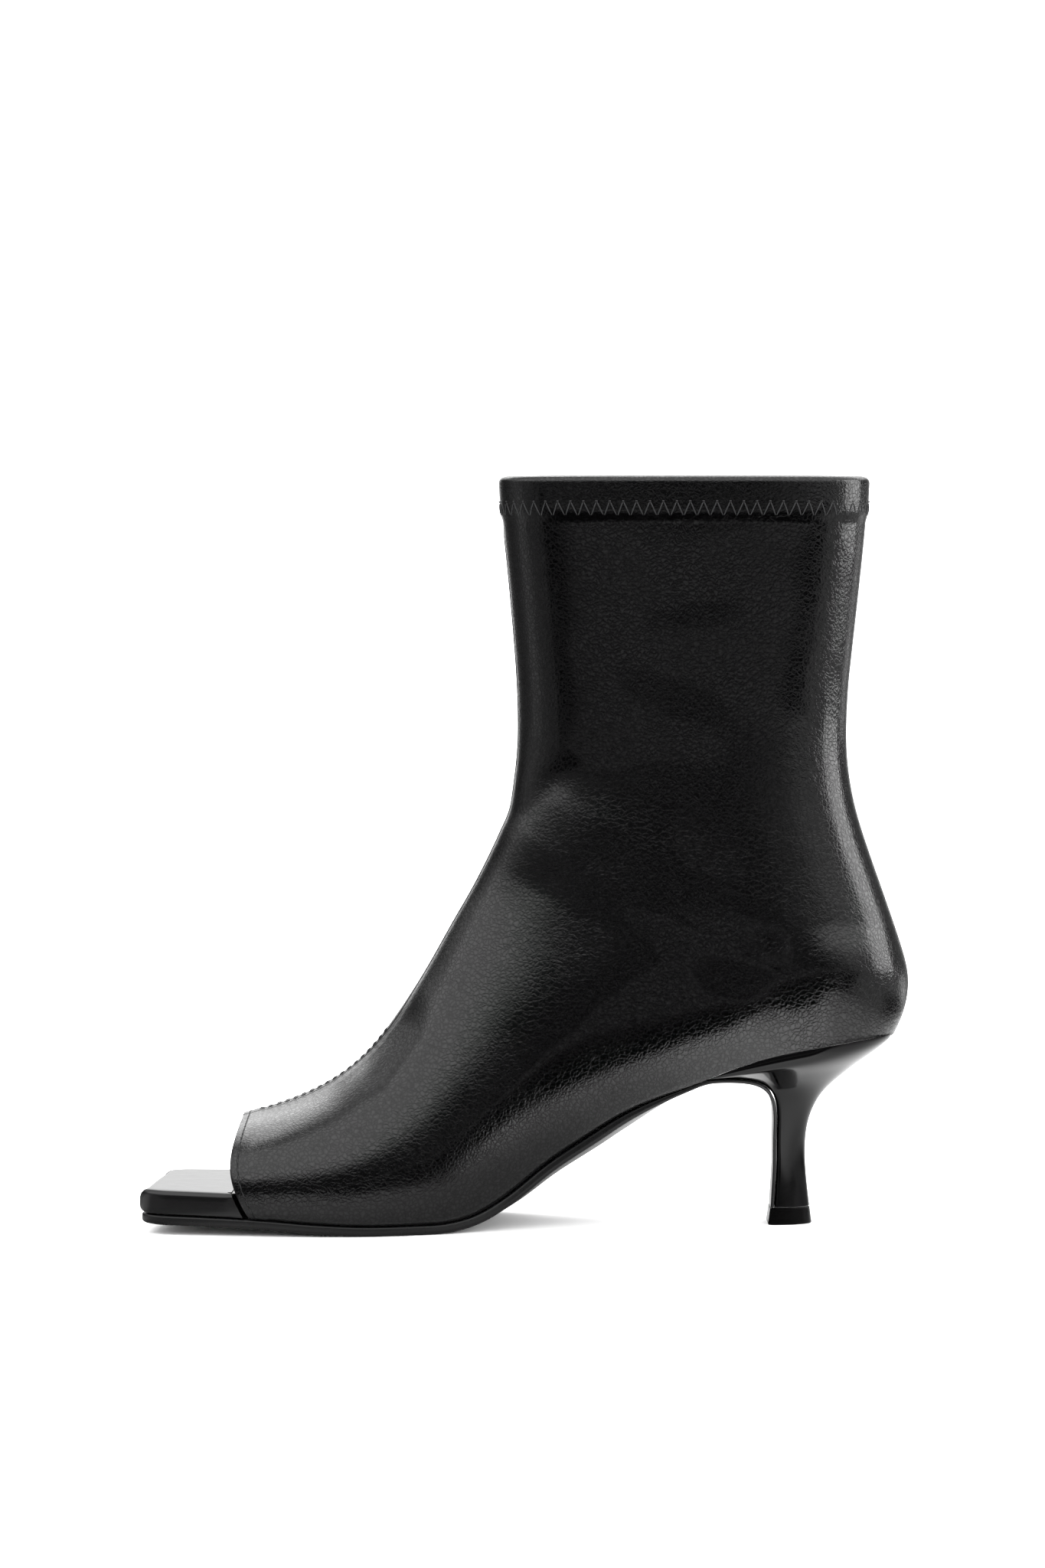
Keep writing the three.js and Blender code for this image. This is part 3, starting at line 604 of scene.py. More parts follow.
upper = {
    "wall": 1.6,
    "tuckDepth": 1.2,       # the upper draws in where it meets the sole
    "tuckHeight": 2.0,
    "swell": 0.6,
    "footEase": 1.02,       # an oval is at least this share of the outline's width,
    "footBlend": 0.8,       # with a soft change between the two
    "cuffHeight": 12.8,
    "cuffStep": 0.6,
    "cuffBlend": 4.0,       # height over which the fold's edge shows through
    "cuffFold": 0.5,
    "rimRound": 2.0,
    "hemWidth": 6.0,        # folded edge of the toe opening
    "hemStep": 0.22,
    "hemBlend": 0.8,
    "seamDepth": 0.35,      # centre seam of the vamp
    "seamWidth": 0.42,
    "seamEdges": 0.2,       # the folds on both sides of it stand out,
    "seamFolds": (2.4, 3.6),  # and fall away between these distances from it
    "seamFade": 8.0,        # it ends over this height below the cuff
    "settling": 8,          # rounds of evening out over the seat
    "counterHeight": 26.0,  # over which the counter swells out from the seat
    "counterReach": 3.0,
    "counterDraw": 0.35,    # how far it draws in at the seat
    "counterSwell": 0.6,    # how far it stands out above the seat,
    "swellHeight": 18.0,
    "swellWidth": 8.0,
    "swellX": (0, 50),      # growing between these places towards the heel
    "roundedX": (68, 84),   # where the counter is rounded and where it is evened out
    "roundedZ": (98, 84),
    "settledX": (35, 65),
    "settledZ": (96, 80),
    "openingRim": 0.8,      # how far the two rims are rounded out, in half walls
    "collarRim": 0.35,
    "sideColumns": 128,
    "coarser": 4,           # the inner face has one point for this many of the outer face's
}
cuffZ = collarZ - upper["cuffHeight"]
cuffFoot = 2 - upper["cuffHeight"] / (collarZ - ankleZ)
upperTable = table("ridge ridgeUp along girth inner bow round", [
    (0, 0, 0.852, 0.42, 0.541, 1, 2.3),
    (0.171, 0.036, 0.779, 0.18, 0.529, 0.53, 2.25),
    (0.338, 0.095, 0.695, 0.02, 0.515, 0.2, 2.2),
    (0.464, 0.171, 0.6075, 0.08, 0.503, 0, 2.2),
    (0.589, 0.296, 0.5157, 0.38, 0.49, 0, 2.2),
    (0.674, 0.394, 0.4196, 0.7, 0.485, 0, 2.3),
    (0.757, 0.503, 0.311, 0.875, 0.488, 0, 2.4),
    (0.825, 0.587, 0.2025, 0.95, 0.492, 0, 2.5),
    (0.888, 0.674, 0.098, 0.98, 0.496, 0, 2.65),
    (0.932, 0.74, 0.0355, 1.04, 0.497, 0, 2.75),
    (0.9565, 0.785, 0, 1.1, 0.498, 0, 2.8),
]) + table("ridge ridgeUp back backUp girth inner round", [
    (0.974, 0.835, 0.035, 0.087, 1.2, 0.499, 2.75),
    (0.985, 0.876, 0, 0.182, 1.3, 0.5, 2.7),
    (0.993, 0.9175, 0.11, 0.293, 1.55, 0.5, 2.6),
    (0.998, 0.967, 0.345, 0.445, 1.8, 0.5, 2.5),
    (1, 1.024, 0.645, 0.624, 1.93, 0.5, 2.45),
    (1.017, 1.11, 0.89, 0.793, 2, 0.5, 2.45),
    (1.068, 1.207, 0.995, 0.972, 2, 0.5, 2.45),
    (1.186, 1.33, 1.114, 1.174, 2.05, 0.5, 2.5),
    (1.373, 1.488, 1.4, 1.405, 2.25, 0.5, 2.5),
    (1.644, 1.69, 1.743, 1.68, 2.6, 0.5, 2.55),
    (1.88, cuffFoot, 1.92, cuffFoot, 2.9, 0.5, 2.6),
    (2, 2, 2, 2, 3, 0.5, 2.6),
])
seatSection, collarSection = 10, 22
sectionBlur = 0.42


def upperRows():
    # The table's shares turned into places, one row for each section.
    rows = []
    for at, row in enumerate(upperTable):
        onSole = "along" in row
        places = {
            "at": at,
            "round": row["round"],
            "inner": row["inner"],
            "width": np.interp(row["girth"], range(4), [
                boot["vampWidth"], boot["counterWidth"], boot["ankleWidth"], boot["collarWidth"]]),
            "bow": row.get("bow", 0) * boot["openingBow"],
            "ridgeX": np.interp(row["ridge"], range(3), [openingX, ankleFrontX, collarFrontX]),
            "ridgeZ": openingZ + (ankleZ - openingZ) * min(row["ridgeUp"], 1)
            + (collarZ - ankleZ) * max(row["ridgeUp"] - 1, 0),
            "baseX": seatBackX - row["along"] * soleLength if onSole
            else np.interp(row["back"], range(3), [counterX, ankleBackX, collarBackX]),
        }
        if not onSole or row["along"] == 0:
            places["baseZ"] = np.interp(row.get("backUp", 0), range(3), [
                boot["heelHeight"] + boot["gap"], ankleZ, collarZ])
        rows.append(places)
    return rows


sectionRows = upperRows()
upperCurves = {
    column: softened(tableCurve(sectionRows, "at", column), 0, collarSection, sectionBlur)
    for column in ("round", "inner", "width", "bow", "ridgeX", "ridgeZ")
}
baseAhead = softened(tableCurve(sectionRows, "at", "baseX"), 0, seatSection, sectionBlur)
baseBehind = softened(tableCurve(sectionRows, "at", "baseX"), seatSection, collarSection, sectionBlur)
baseRise = softened(tableCurve(sectionRows, "at", "baseZ"), seatSection, collarSection, sectionBlur)


def powerShare(share, power):
    # s^q / (s^q + (1-s)^q), which keeps the points of an oval evenly spaced near its tips.
    return share ** power / (share ** power + (1 - share) ** power)


def upperPoints(at, side, across):
    # Points of the plain outer face, at in rows and across in columns, from 0 at the base to 1 at
    # the ridge. An oval of exponent round: along the chord cos(a)^(2/round), across it
    # sin(a)^(2/round).
    at = np.asarray(at, float)[:, None]
    across = np.asarray(across, float)[None, :]
    values = {key: curve(at) for key, curve in upperCurves.items()}
    onSole = at < seatSection
    baseX = np.where(onSole, baseAhead(at), baseBehind(at))
    along = np.where(onSole, shareAt(baseX), 0)
    foot = np.where(onSole, halfWidth(along, side) + upper["swell"] * ramp(along, 0, 0.04), 0)
    wide = values["width"] * (values["inner"] if side < 0 else 1 - values["inner"])
    wider = foot * upper["footEase"]
    full = (wide + wider + np.sqrt((wide - wider) ** 2 + upper["footBlend"])) / 2
    power = 2 / values["round"]
    start = np.arcsin(np.clip(foot / full, 0, 1) ** (1 / power))
    first = powerShare(start / math.pi, power)
    angle = math.pi * powerShare(mix(first, 1, across), 1 / power)
    reach = np.sign(np.cos(angle)) * np.abs(np.cos(angle)) ** power
    lowest = np.cos(start) ** power
    rise = (lowest - reach) / (lowest + 1)
    baseZ = np.where(onSole, soleTop(baseX, side * foot) + boot["gap"], baseRise(at))
    middleZ = np.where(onSole, soleTop(baseX, 0) + boot["gap"], baseZ)
    chord = np.hypot(values["ridgeX"] - baseX, values["ridgeZ"] - middleZ)
    drawn = np.where(onSole, ramp(along, 0.05, 0.4) * upper["tuckDepth"], 0)
    tuck = drawn * np.maximum(1 - rise * chord / upper["tuckHeight"], 0) ** 2
    width = np.where(across == 1, 0, full * np.sin(angle) ** power - tuck)
    x = mix(baseX, values["ridgeX"], rise) - values["bow"] * np.sin(math.pi * rise)
    z = mix(middleZ, values["ridgeZ"], rise) + (baseZ - middleZ) * (1 - rise) ** 2
    return np.stack([x, side * width, z], -1)


def sectionPlaces():
    # Close together at the opening's edge, on the seat's round end and at the cuff. The rows up
    # to the seat and all rows are one more than a multiple of coarser.
    roundFrom, ankleAt, cuffFrom, rimFrom = 8.55, 16, 20.7, 21.8
    edge = np.array([0, 0.02, 0.04, 0.065, 0.095, 0.13, 0.17, 0.22])
    wholeSole = np.linspace(0.28, roundFrom, 113)
    turns = np.sin(np.linspace(0, math.pi / 2, 41))[1:]
    roundEnd = roundFrom + (seatSection - roundFrom) * turns
    sole = np.concatenate([edge, wholeSole, roundEnd])
    shaft = [np.linspace(seatSection, ankleAt, 57)[1:], np.linspace(ankleAt, cuffFrom, 69)[1:]]
    rim = mix(rimFrom, collarSection, np.sin(np.linspace(0, math.pi / 2, 9)))[1:]
    rows = np.concatenate([sole, *shaft, np.linspace(cuffFrom, rimFrom, 29)[1:], rim])
    return rows, len(sole) - 1


def surfaceNormals(points, seatRow):
    # Outward directions of a grid whose first and last columns meet from seatRow on.
    down = np.gradient(points, axis=0)
    across = np.gradient(points, axis=1)
    closed = points[seatRow:, 1] - points[seatRow:, -2]
    across[seatRow:, 0] = across[seatRow:, -1] = closed
    normals = np.cross(across, down)
    normals /= np.maximum(np.linalg.norm(normals, axis=-1, keepdims=True), 1e-9)
    middle = points.mean(axis=(0, 1))
    return normals if ((points - middle) * normals).sum() > 0 else -normals


def runLength(points, axis):
    # Distance along a grid's rows or columns from their first point.
    steps = np.linalg.norm(np.diff(points, axis=axis), axis=-1)
    zero = np.zeros_like(np.take(steps, [0], axis=axis))
    return np.concatenate([zero, np.cumsum(steps, axis=axis)], axis=axis)


def roundedCounter(points):
    # The fanned sections leave a fold over the seat. There the points keep their height and their
    # way round and are set to a smooth distance from the seat's outline: at the sides
    # counterDraw inside it at the seat, then out by counterReach, r = 1 - (1 - h/H)^1.6, and at
    # the back along the boot's own back line.
    points = points.copy()
    x, y, z = points[..., 0], points[..., 1], points[..., 2]
    radius = boot["seatWidth"] / 2
    middle = seatBackX - radius
    out = np.stack([np.clip(x - middle, 0, None), y], -1)
    far = np.maximum(np.linalg.norm(out, axis=-1), 1e-9)
    out /= far[..., None]
    outline = np.where(x > middle, radius, halfWidth(shareAt(x), np.sign(y)))
    above = z - soleTop(np.clip(x, None, seatBackX), 0)
    reach = 1 - np.clip(1 - above / upper["counterHeight"], 0, 1) ** 1.6
    beside = upper["counterReach"] * reach - upper["counterDraw"]
    places = np.linspace(seatSection, 15, 120)
    behind = np.interp(z, baseRise(places), baseBehind(places)) - seatBackX
    target = outline + mix(beside, behind, out[..., 0] ** 2)
    share = ramp(x, *upper["roundedX"]) * ramp(z, *upper["roundedZ"])
    points[..., :2] += out * ((target - far) * share)[..., None]
    return points


def settledCounter(points, seatRow):
    # Each point over the seat is moved again and again halfway to the mean of its neighbours.
    points = points.copy()
    share = ramp(points[..., 2], *upper["settledZ"]) * ramp(points[..., 0], *upper["settledX"]) * 0.5
    share[:seatRow + 1, [0, -1]] = 0
    share[[0, -1]] = 0
    share = share[..., None]
    for turn in range(upper["settling"]):
        padded = np.pad(points, ((1, 1), (1, 1), (0, 0)), "edge")
        padded[seatRow + 2:-1, 0] = points[seatRow + 1:, -2]
        padded[seatRow + 2:-1, -1] = points[seatRow + 1:, 1]
        mean = (padded[:-2, 1:-1] + padded[2:, 1:-1] + padded[1:-1, :-2] + padded[1:-1, 2:]) / 4
        points += (mean - points) * share
    return points


sectionAt, seatRow = sectionPlaces()
columnShare = 1 - (1 - np.linspace(0, 1, upper["sideColumns"] + 1)) ** 1.15
innerSide = upperPoints(sectionAt, -1.0, columnShare)
outerSide = upperPoints(sectionAt, 1.0, columnShare)
plainUpper = roundedCounter(np.concatenate([innerSide, outerSide[:, -2::-1]], axis=1))
plainUpper = settledCounter(plainUpper, seatRow)
ridgeColumn = upper["sideColumns"]
plainNormals = surfaceNormals(plainUpper, seatRow)
aroundUpper = runLength(plainUpper, 1)
aroundUpper = aroundUpper - aroundUpper[:, [ridgeColumn]]     # signed distance from the ridge
fromOpening = runLength(plainUpper, 0)                        # distance from the toe opening
ridgeRun = fromOpening[:, ridgeColumn]
print("upper worked out:", plainUpper.shape)


# Creases, in the boot's own millimetres seen from the side: a line from one point to another, its width,
# its depth, below 0 for a ridge, and the side it lies on.
creases = table("start end width depth side", [
    ((-5, 130), (13, 146), 3.2, 0.75, 0),
    ((-3, 142), (26, 154), 5.0, -0.18, 0),
    ((-4, 116), (34, 133), 7.0, -0.25, 0),
    ((-14, 103), (30, 121), 5.0, 0.22, 0),
    ((97, 178), (86, 160), 5.0, 0.3, 0),
    ((30, 196), (88, 206), 6.0, 0.1, -1),
    ((10, 190), (60, 170), 7.0, 0.11, -1),
    ((40, 150), (96, 128), 7.0, 0.12, -1),
    ((20, 200), (80, 190), 7.0, 0.2, 1),
    ((36, 140), (92, 122), 7.0, 0.25, 1),
    ((-84, 32), (-56, 45), 3.0, 0.8, -1),
    ((-50, 47), (-34, 69), 3.2, 1.4, -1),
    ((-58, 36), (-36, 60), 3.2, 0.22, 1),
])


def creaseRelief(points):
    # Each crease is a bell across its line that fades out at both ends.
    relief = np.zeros(points.shape[:2])
    for crease in creases:
        start, end = np.array(crease["start"], float), np.array(crease["end"], float)
        run = end - start
        length = np.hypot(*run)
        place = points[..., [0, 2]] - start
        along = place @ run / length
        aside = place @ np.array([-run[1], run[0]]) / length
        ends = ramp(along, -0.25 * length, 0.2 * length) * ramp(along, 1.25 * length, 0.75 * length)
        side = crease["side"]
        facing = 1 if side == 0 else ramp(points[..., 1] * side, -2, 8)
        relief -= crease["depth"] * bell(aside, crease["width"]) * ends * facing
    return relief


def upperRelief():
    # What stands proud of the plain face or lies below it.
    z = plainUpper[..., 2]
    cuff = upper["cuffStep"] * ramp(z, cuffZ - upper["cuffBlend"] / 2, cuffZ + upper["cuffBlend"] / 2)
    hemEdge, hemBlend = upper["hemWidth"], upper["hemBlend"]
    hem = upper["hemStep"] * (1 - ramp(fromOpening, hemEdge - hemBlend, hemEdge + hemBlend))
    onVamp = 1 - ramp(z, cuffZ - upper["seamFade"], cuffZ)
    seam = -upper["seamDepth"] * bell(aroundUpper, upper["seamWidth"]) * onVamp
    edges = upper["seamEdges"] * (1 - ramp(np.abs(aroundUpper), *upper["seamFolds"])) * onVamp
    # The fold's round top: a quarter circle of rimRound.
    high = np.clip(1 - (collarZ - z) / upper["rimRound"], 0, 1)
    cuff = cuff - upper["rimRound"] * (1 - np.sqrt(1 - high ** 2))
    above = z - soleTop(np.clip(plainUpper[..., 0], None, seatBackX), 0)
    heelEnd = ramp(plainUpper[..., 0], *upper["swellX"])
    counter = upper["counterSwell"] * bell(above - upper["swellHeight"], upper["swellWidth"])
    return cuff + hem + seam + edges + counter * heelEnd + creaseRelief(plainUpper)


outerUpper = plainUpper + plainNormals * upperRelief()[..., None]


def makeUpper():
    coarser = upper["coarser"]
    columns = outerUpper.shape[1]
    wall = upper["wall"] + upper["cuffFold"] * ramp(plainUpper[..., 2], cuffZ - 1, cuffZ + 1)
    troughs = np.minimum(creaseRelief(plainUpper), 0)
    innerFace = plainUpper + plainNormals * (troughs - wall)[..., None]
    # The two rims are half rounds from the outer to the inner face.
    turns = np.linspace(0, math.pi, 9)[1:-1]

    def rim(row, way):
        outer, inner = outerUpper[row], innerFace[row]
        middle, half = (outer + inner) / 2, (outer - inner) / 2
        bulge = way * np.linalg.norm(half, axis=-1, keepdims=True)
        return middle + half * np.cos(turns)[:, None, None] + bulge * np.sin(turns)[:, None, None]

    openingWay = plainUpper[0] - plainUpper[3]
    openingWay /= np.linalg.norm(openingWay, axis=-1, keepdims=True)
    openingRim = rim(0, openingWay * upper["openingRim"])
    collarRim = rim(-1, np.array([0.0, 0.0, upper["collarRim"]]))
    rimRows = len(turns)
    coarseInner = innerFace[::coarser, ::coarser]
    coarseColumns = coarseInner.shape[1]
    blocks = [outerUpper, openingRim, collarRim, coarseInner]
    starts = np.cumsum([0] + [block.shape[0] * block.shape[1] for block in blocks])
    index = [np.arange(a, b).reshape(block.shape[:2]) for a, b, block in zip(starts, starts[1:], blocks)]
    outerIndex, openingIndex, collarIndex, innerIndex = index

    def sheetFaces(grid):
        return np.stack([grid[:-1, :-1], grid[1:, :-1], grid[1:, 1:], grid[:-1, 1:]], -1).reshape(-1, 4)

    def zipped(fine, coarse):
        # Triangles between a row of points and one with fewer, and their middles.
        steps = (len(fine) - 1) // (len(coarse) - 1)
        fans = []
        for j in range(steps):
            tips = coarse[:-1] if j < steps // 2 else coarse[1:]
            fans.append(np.stack([fine[j:-1:steps], tips, fine[j + 1::steps]], -1))
        return np.concatenate(fans + [np.stack([coarse[:-1], coarse[1:], fine[steps // 2:-1:steps]], -1)])

    opening = np.concatenate([outerIndex[:1], openingIndex])
    collar = np.concatenate([outerIndex[-1:], collarIndex])
    soleFine = outerIndex[:seatRow + 1]
    soleCoarse = innerIndex[:seatRow // coarser + 1]
    quads = [
        sheetFaces(outerIndex),
        sheetFaces(opening)[:, ::-1],
        sheetFaces(collar),
        sheetFaces(innerIndex)[:, ::-1],
    ]
    triangles = [
        zipped(openingIndex[-1], innerIndex[0])[:, ::-1],
        zipped(collarIndex[-1], innerIndex[-1]),
        zipped(soleFine[:, 0], soleCoarse[:, 0]),
        zipped(soleFine[:, -1], soleCoarse[:, -1])[:, ::-1],
    ]
    ends = [
        np.append(opening[:, 0], innerIndex[0, 0])[::-1],
        np.append(opening[:, -1], innerIndex[0, -1]),
    ]
    faces = quads + triangles + [end[None] for end in ends]
    points = np.concatenate([block.reshape(-1, 3) for block in blocks])
    innerPoints = np.zeros(len(points), bool)
    innerPoints[starts[3]:] = True
    lining = np.concatenate([innerPoints[block].all(axis=1) for block in faces])
    around = [aroundUpper, np.repeat(aroundUpper[:1], rimRows, 0),
              np.repeat(aroundUpper[-1:], rimRows, 0), aroundUpper[::coarser, ::coarser]]
    distance = [fromOpening, np.zeros(openingIndex.shape), np.repeat(fromOpening[-1:], rimRows, 0),
                fromOpening[::coarser, ::coarser]]
    runs = [np.repeat(ridgeRun[:, None], columns, 1), np.zeros(openingIndex.shape),
            np.full(collarIndex.shape, ridgeRun[-1]),
            np.repeat(ridgeRun[::coarser, None], coarseColumns, 1)]

    def flat(blocks):
        return np.concatenate([block.ravel() for block in blocks]) * 0.001

    uvs = np.stack([flat(around), flat(runs)], -1)
    thing = addMesh("upper_shell", points, faces, [upperLeather, liningCloth], uvs=uvs,
                    values={"hem": flat(distance)}, slots=lining, sharp=60)
    return finished(thing, "upper")


upperShell = makeUpper()
print("upper made:", len(upperShell.data.polygons), "faces")


# Footbed

footbed = {
    "thickness": 7.6,       # at the open toe
    "seatPad": 4.0,
    "round": 1.8,
    "foot": 0.6,            # its underside is drawn in by this share of the nose's rounding
}


def openingLine(side, height):
    # How far the upper's opening lies ahead of its foot, at a height over the outsole.
    line = upperPoints([0.0], side, np.linspace(0, 0.5, 200))[0]
    ahead = line[0, 0] - np.minimum(line[:, 0], line[0, 0])
    return np.interp(height, line[:, 2] - line[0, 2], ahead), line[0, 0]


def footbedProfile(along, shrink, inset):
    # One side of a section, from the middle of its top over its round edge to the middle of its
    # underside: place across, inset from the edge and height over the outsole.
    size = footbed
    thick = mix(size["seatPad"], size["thickness"], ramp(along, 0.1, 0.75)) - shrink
    low = shrink * size["foot"]
    edge = min(size["round"], thick / 3)
    turns = np.linspace(0, math.pi / 2, 9)
    top = np.linspace(0, 1, 15)[:-1]
    walls = np.linspace(0.25, 0.75, 3)
    across = np.concatenate([top, np.ones(len(turns) * 2 + len(walls)), top[::-1]])
    insets = np.concatenate([
        np.full(len(top), inset + edge),
        inset + edge * (1 - np.sin(turns)),
        np.full(len(walls), inset),
        inset + edge * 0.5 * (1 - np.cos(turns)),
        np.full(len(top), inset + edge * 0.5),
    ])
    upTo, downTo = thick - edge, low + edge * 0.5
    heights = np.concatenate([
        np.full(len(top), thick),
        upTo + edge * np.cos(turns),
        mix(upTo, downTo, walls),
        downTo - edge * 0.5 * np.sin(turns),
        np.full(len(top), low),
    ])
    return across, insets, heights


def footbedRing(along, shrink=0.0, inset=0.0, ahead=None):
    across, insets, heights = footbedProfile(along, shrink, inset)

    def half(side):
        points = solePoint(np.full(len(across), along), side * across, insets, -boot["gap"] - heights)
        if ahead is not None:
            lead, foot = openingLine(side, heights)
            points[:, 0] = foot - lead - ahead
        return points

    return bothSides(half)


def makeFootbed():
    opening = upperTable[0]["along"]
    inside = upper["wall"] + upper["tuckDepth"] - upper["swell"] + 2 * boot["gap"]
    free = (upper["wall"] + boot["openingBow"] + 4 * boot["gap"]) / soleLength
    turns = np.linspace(0, math.pi / 2, 9)
    nose = 1 - footbed["round"] * (1 - np.cos(turns)) / soleLength
    shrinks = footbed["round"] * (1 - np.sin(turns))
    toe = np.linspace(nose[-1], 1 - boot["toeCorner"] / soleLength, 12)[1:]
    straight = np.linspace(toe[-1], opening + free, 12)[1:]
    rings = [footbedRing(along, shrink) for along, shrink in zip(nose, shrinks)]
    rings += [footbedRing(along) for along in np.concatenate([toe, straight])]
    rings.append(footbedRing(opening, ahead=upper["wall"] + 2 * boot["gap"]))
    rings.append(footbedRing(opening, inset=inside, ahead=2 * boot["gap"]))
    back = boot["seatWidth"] / 2 / soleLength * (1 - np.cos(np.linspace(math.pi / 2, 0, 20)))
    middle = np.linspace(opening - 0.006, back[0], 70)
    rings += [footbedRing(along, inset=inside) for along in np.concatenate([middle, back[1:]])]
    thing = loftMesh("footbed_wrap", np.array(rings), [footbedLeather], capEnd=False, sharp=40)
    return finished(thing, "footbed")


makeFootbed()
print("footbed made")


# Heel and outsole. Heel sections run from under the seat down to the top-lift. reach is a share
# of shelfLength ahead of the breast, up of the height of the outsole's exit, back of the seat's
# overhang behind the column, backUp of the seat's height, and spread from 0 at the column's width
# to 1 at the outsole's width.

heel = {
    "breastSetback": 37.9,
    "shelfLength": 26.1,
    "columnDepth": 9.4,
    "columnWidth": 12.4,
    "liftHeight": 5.4,
    "liftDepth": 14.4,
    "liftWidth": 16.0,
    "liftTaper": 0.7,
    "liftOverhang": 2.8,
    "liftBevel": 0.35,
    "liftFlare": 0.1,
    "cornerCut": 0.12,
    "columns": 44,
    "rows": 110,
}
outsole = {
    "inset": 0.8,
    "crown": 1.4,
    "flapThickness": 1.1,
    "bevel": 1.2,
    "rows": 170,
}
heelTable = table("reach up back backUp spread", [
    (0.847, 1.0256, 0.872, 0.94, 0.98),
    (0.674, 1.036, 0.727, 0.8825, 0.88),
    (0.502, 1.036, 0.567, 0.823, 0.725),
    (0.349, 1.0256, 0.411, 0.7595, 0.55),
    (0.2146, 1, 0.28, 0.7016, 0.385),
    (0.107, 0.951, 0.177, 0.6438, 0.245),
    (0.038, 0.882, 0.106, 0.584, 0.145),
    (0.004, 0.788, 0.053, 0.519, 0.08),
    (0, 0.57, 0.004, 0.385, 0.015),
    (0.004, 0.327, 0.004, 0.2315, 0),
    (0.019, 0.1355, 0.028, 0.0958, 0.015),
    (0.031, 0, 0.05, 0, 0.035),
])
breastX = seatBackX - heel["breastSetback"]
shelfX = breastX - heel["shelfLength"]
columnBackX = breastX + heel["columnDepth"]
columnFootZ = heel["liftHeight"] + boot["gap"]
exitShare = shareAt(shelfX)
exitZ = float(soleTop(shelfX, 0))
heelTip = shareAt(breastX - heelTable[0]["reach"] * heel["shelfLength"])
breastReach, breastUp, breastSpread = [
    np.array([row[column] for row in heelTable]) for column in ("reach", "up", "spread")
]
breastLine = np.stack([breastX - breastReach * heel["shelfLength"], mix(columnFootZ, exitZ, breastUp)], -1)
breastRun = np.gradient(np.concatenate([[[shelfX, exitZ]], breastLine]), axis=0)[1:]
breastRun[-1] = breastLine[-1] - breastLine[-2]
breastRun /= np.linalg.norm(breastRun, axis=-1, keepdims=True)
breastNormal = np.stack([breastRun[:, 1], -breastRun[:, 0]], -1)
exitHalf = [float(abs(edgePoint(exitShare, side, outsole["inset"])[1])) for side in (-1.0, 1.0)]
breastTilt = boot["archLift"] * float(soleLift(exitShare)) / 2 * breastSpread ** 2


def breastHalf(side):
    return mix(heel["columnWidth"] / 2, exitHalf[0 if side < 0 else 1], breastSpread)


def outsoleThicknessAt(along):
    grown = ramp(along, exitShare - 0.02, exitShare + 0.14)
    return mix(outsole["flapThickness"], boot["outsoleThickness"], grown)


def outsoleProfile(thickness, crown):
    # One side of a section, from the middle of its upper face over its bevelled edge to the
    # middle of its tread.
    bevel = np.minimum(outsole["bevel"], thickness * 0.4)
    flat = np.linspace(0, 1, 12)[:-1]
    turns = np.linspace(0, math.pi / 2, 6)
    across = np.concatenate([flat, np.ones(13), flat[::-1]])
    insets = np.concatenate([
        np.full(len(flat), bevel * 0.75), bevel * 0.75 * (1 - np.sin(turns)), [0.0],
        bevel * (1 - np.cos(turns)), np.full(len(flat), bevel),
    ])
    depths = np.concatenate([
        np.zeros(len(flat)), bevel * 0.75 * (1 - np.cos(turns)), [thickness * 0.55],
        thickness - bevel + bevel * np.sin(turns), thickness + crown * (1 - flat[::-1] ** 2),
    ])
    return across, insets, depths


def soleRing(along):
    crown = outsole["crown"] * ramp(along, 0.6, 0.48) * ramp(along, exitShare, exitShare + 0.1)
    across, insets, depths = outsoleProfile(float(outsoleThicknessAt(along)), float(crown))
    places = np.full(len(across), along)
    return bothSides(lambda side: solePoint(places, side * across, outsole["inset"] + insets, depths))


def flapRing(row):
    across, insets, depths = outsoleProfile(outsole["flapThickness"], 0.0)
    place = breastLine[row] + breastNormal[row] * depths[:, None]

    def half(side):
        wide = breastHalf(side)[row] - insets
        tilt = side * across * breastTilt[row]
        return np.stack([place[:, 0], side * across * wide, place[:, 1] - tilt], -1)

    return bothSides(half)


def makeOutsole():
    turns = np.linspace(0, math.pi / 2, 12)
    toe = 1 - boot["toeCorner"] * (1 - np.cos(turns)) / soleLength
    toe = np.concatenate([[1.0], toe[1:]])
    straight = np.linspace(toe[-1], exitShare, outsole["rows"])[1:]
    sheet = np.array([soleRing(along) for along in np.concatenate([toe, straight])])
    flap = np.array([flapRing(row) for row in range(len(heelTable))])
    knots = np.concatenate([sheet[[-9, -5, -1]], flap])
    runs = runLength(knots.mean(axis=1), 0)
    fine = splineRows(knots, runs, np.linspace(runs[2], runs[-1], 90)[1:])
    thing = loftMesh("outsole_sheet", np.concatenate([sheet, fine]), [soleRubber], sharp=35)
    return finished(thing, "outsole")


makeOutsole()
print("outsole made")


def columnProfile(share):
    # Half width of a plain heel section: blunt corners at the breast, round at the back.
    corner = 1 - heel["cornerCut"] * np.maximum(1 - share / 0.12, 0) ** 2
    return corner * np.sqrt(np.maximum(1 - share ** 2.4, 0))


heelShares = 1 - np.linspace(1, 0, heel["columns"]) ** 2
heelShares = np.unique(np.concatenate([np.linspace(0, 0.12, 6), heelShares[heelShares > 0.13]]))


def seatEdge(side):
    return edgePoint(heelTip * (1 - heelShares), side, outsole["inset"])


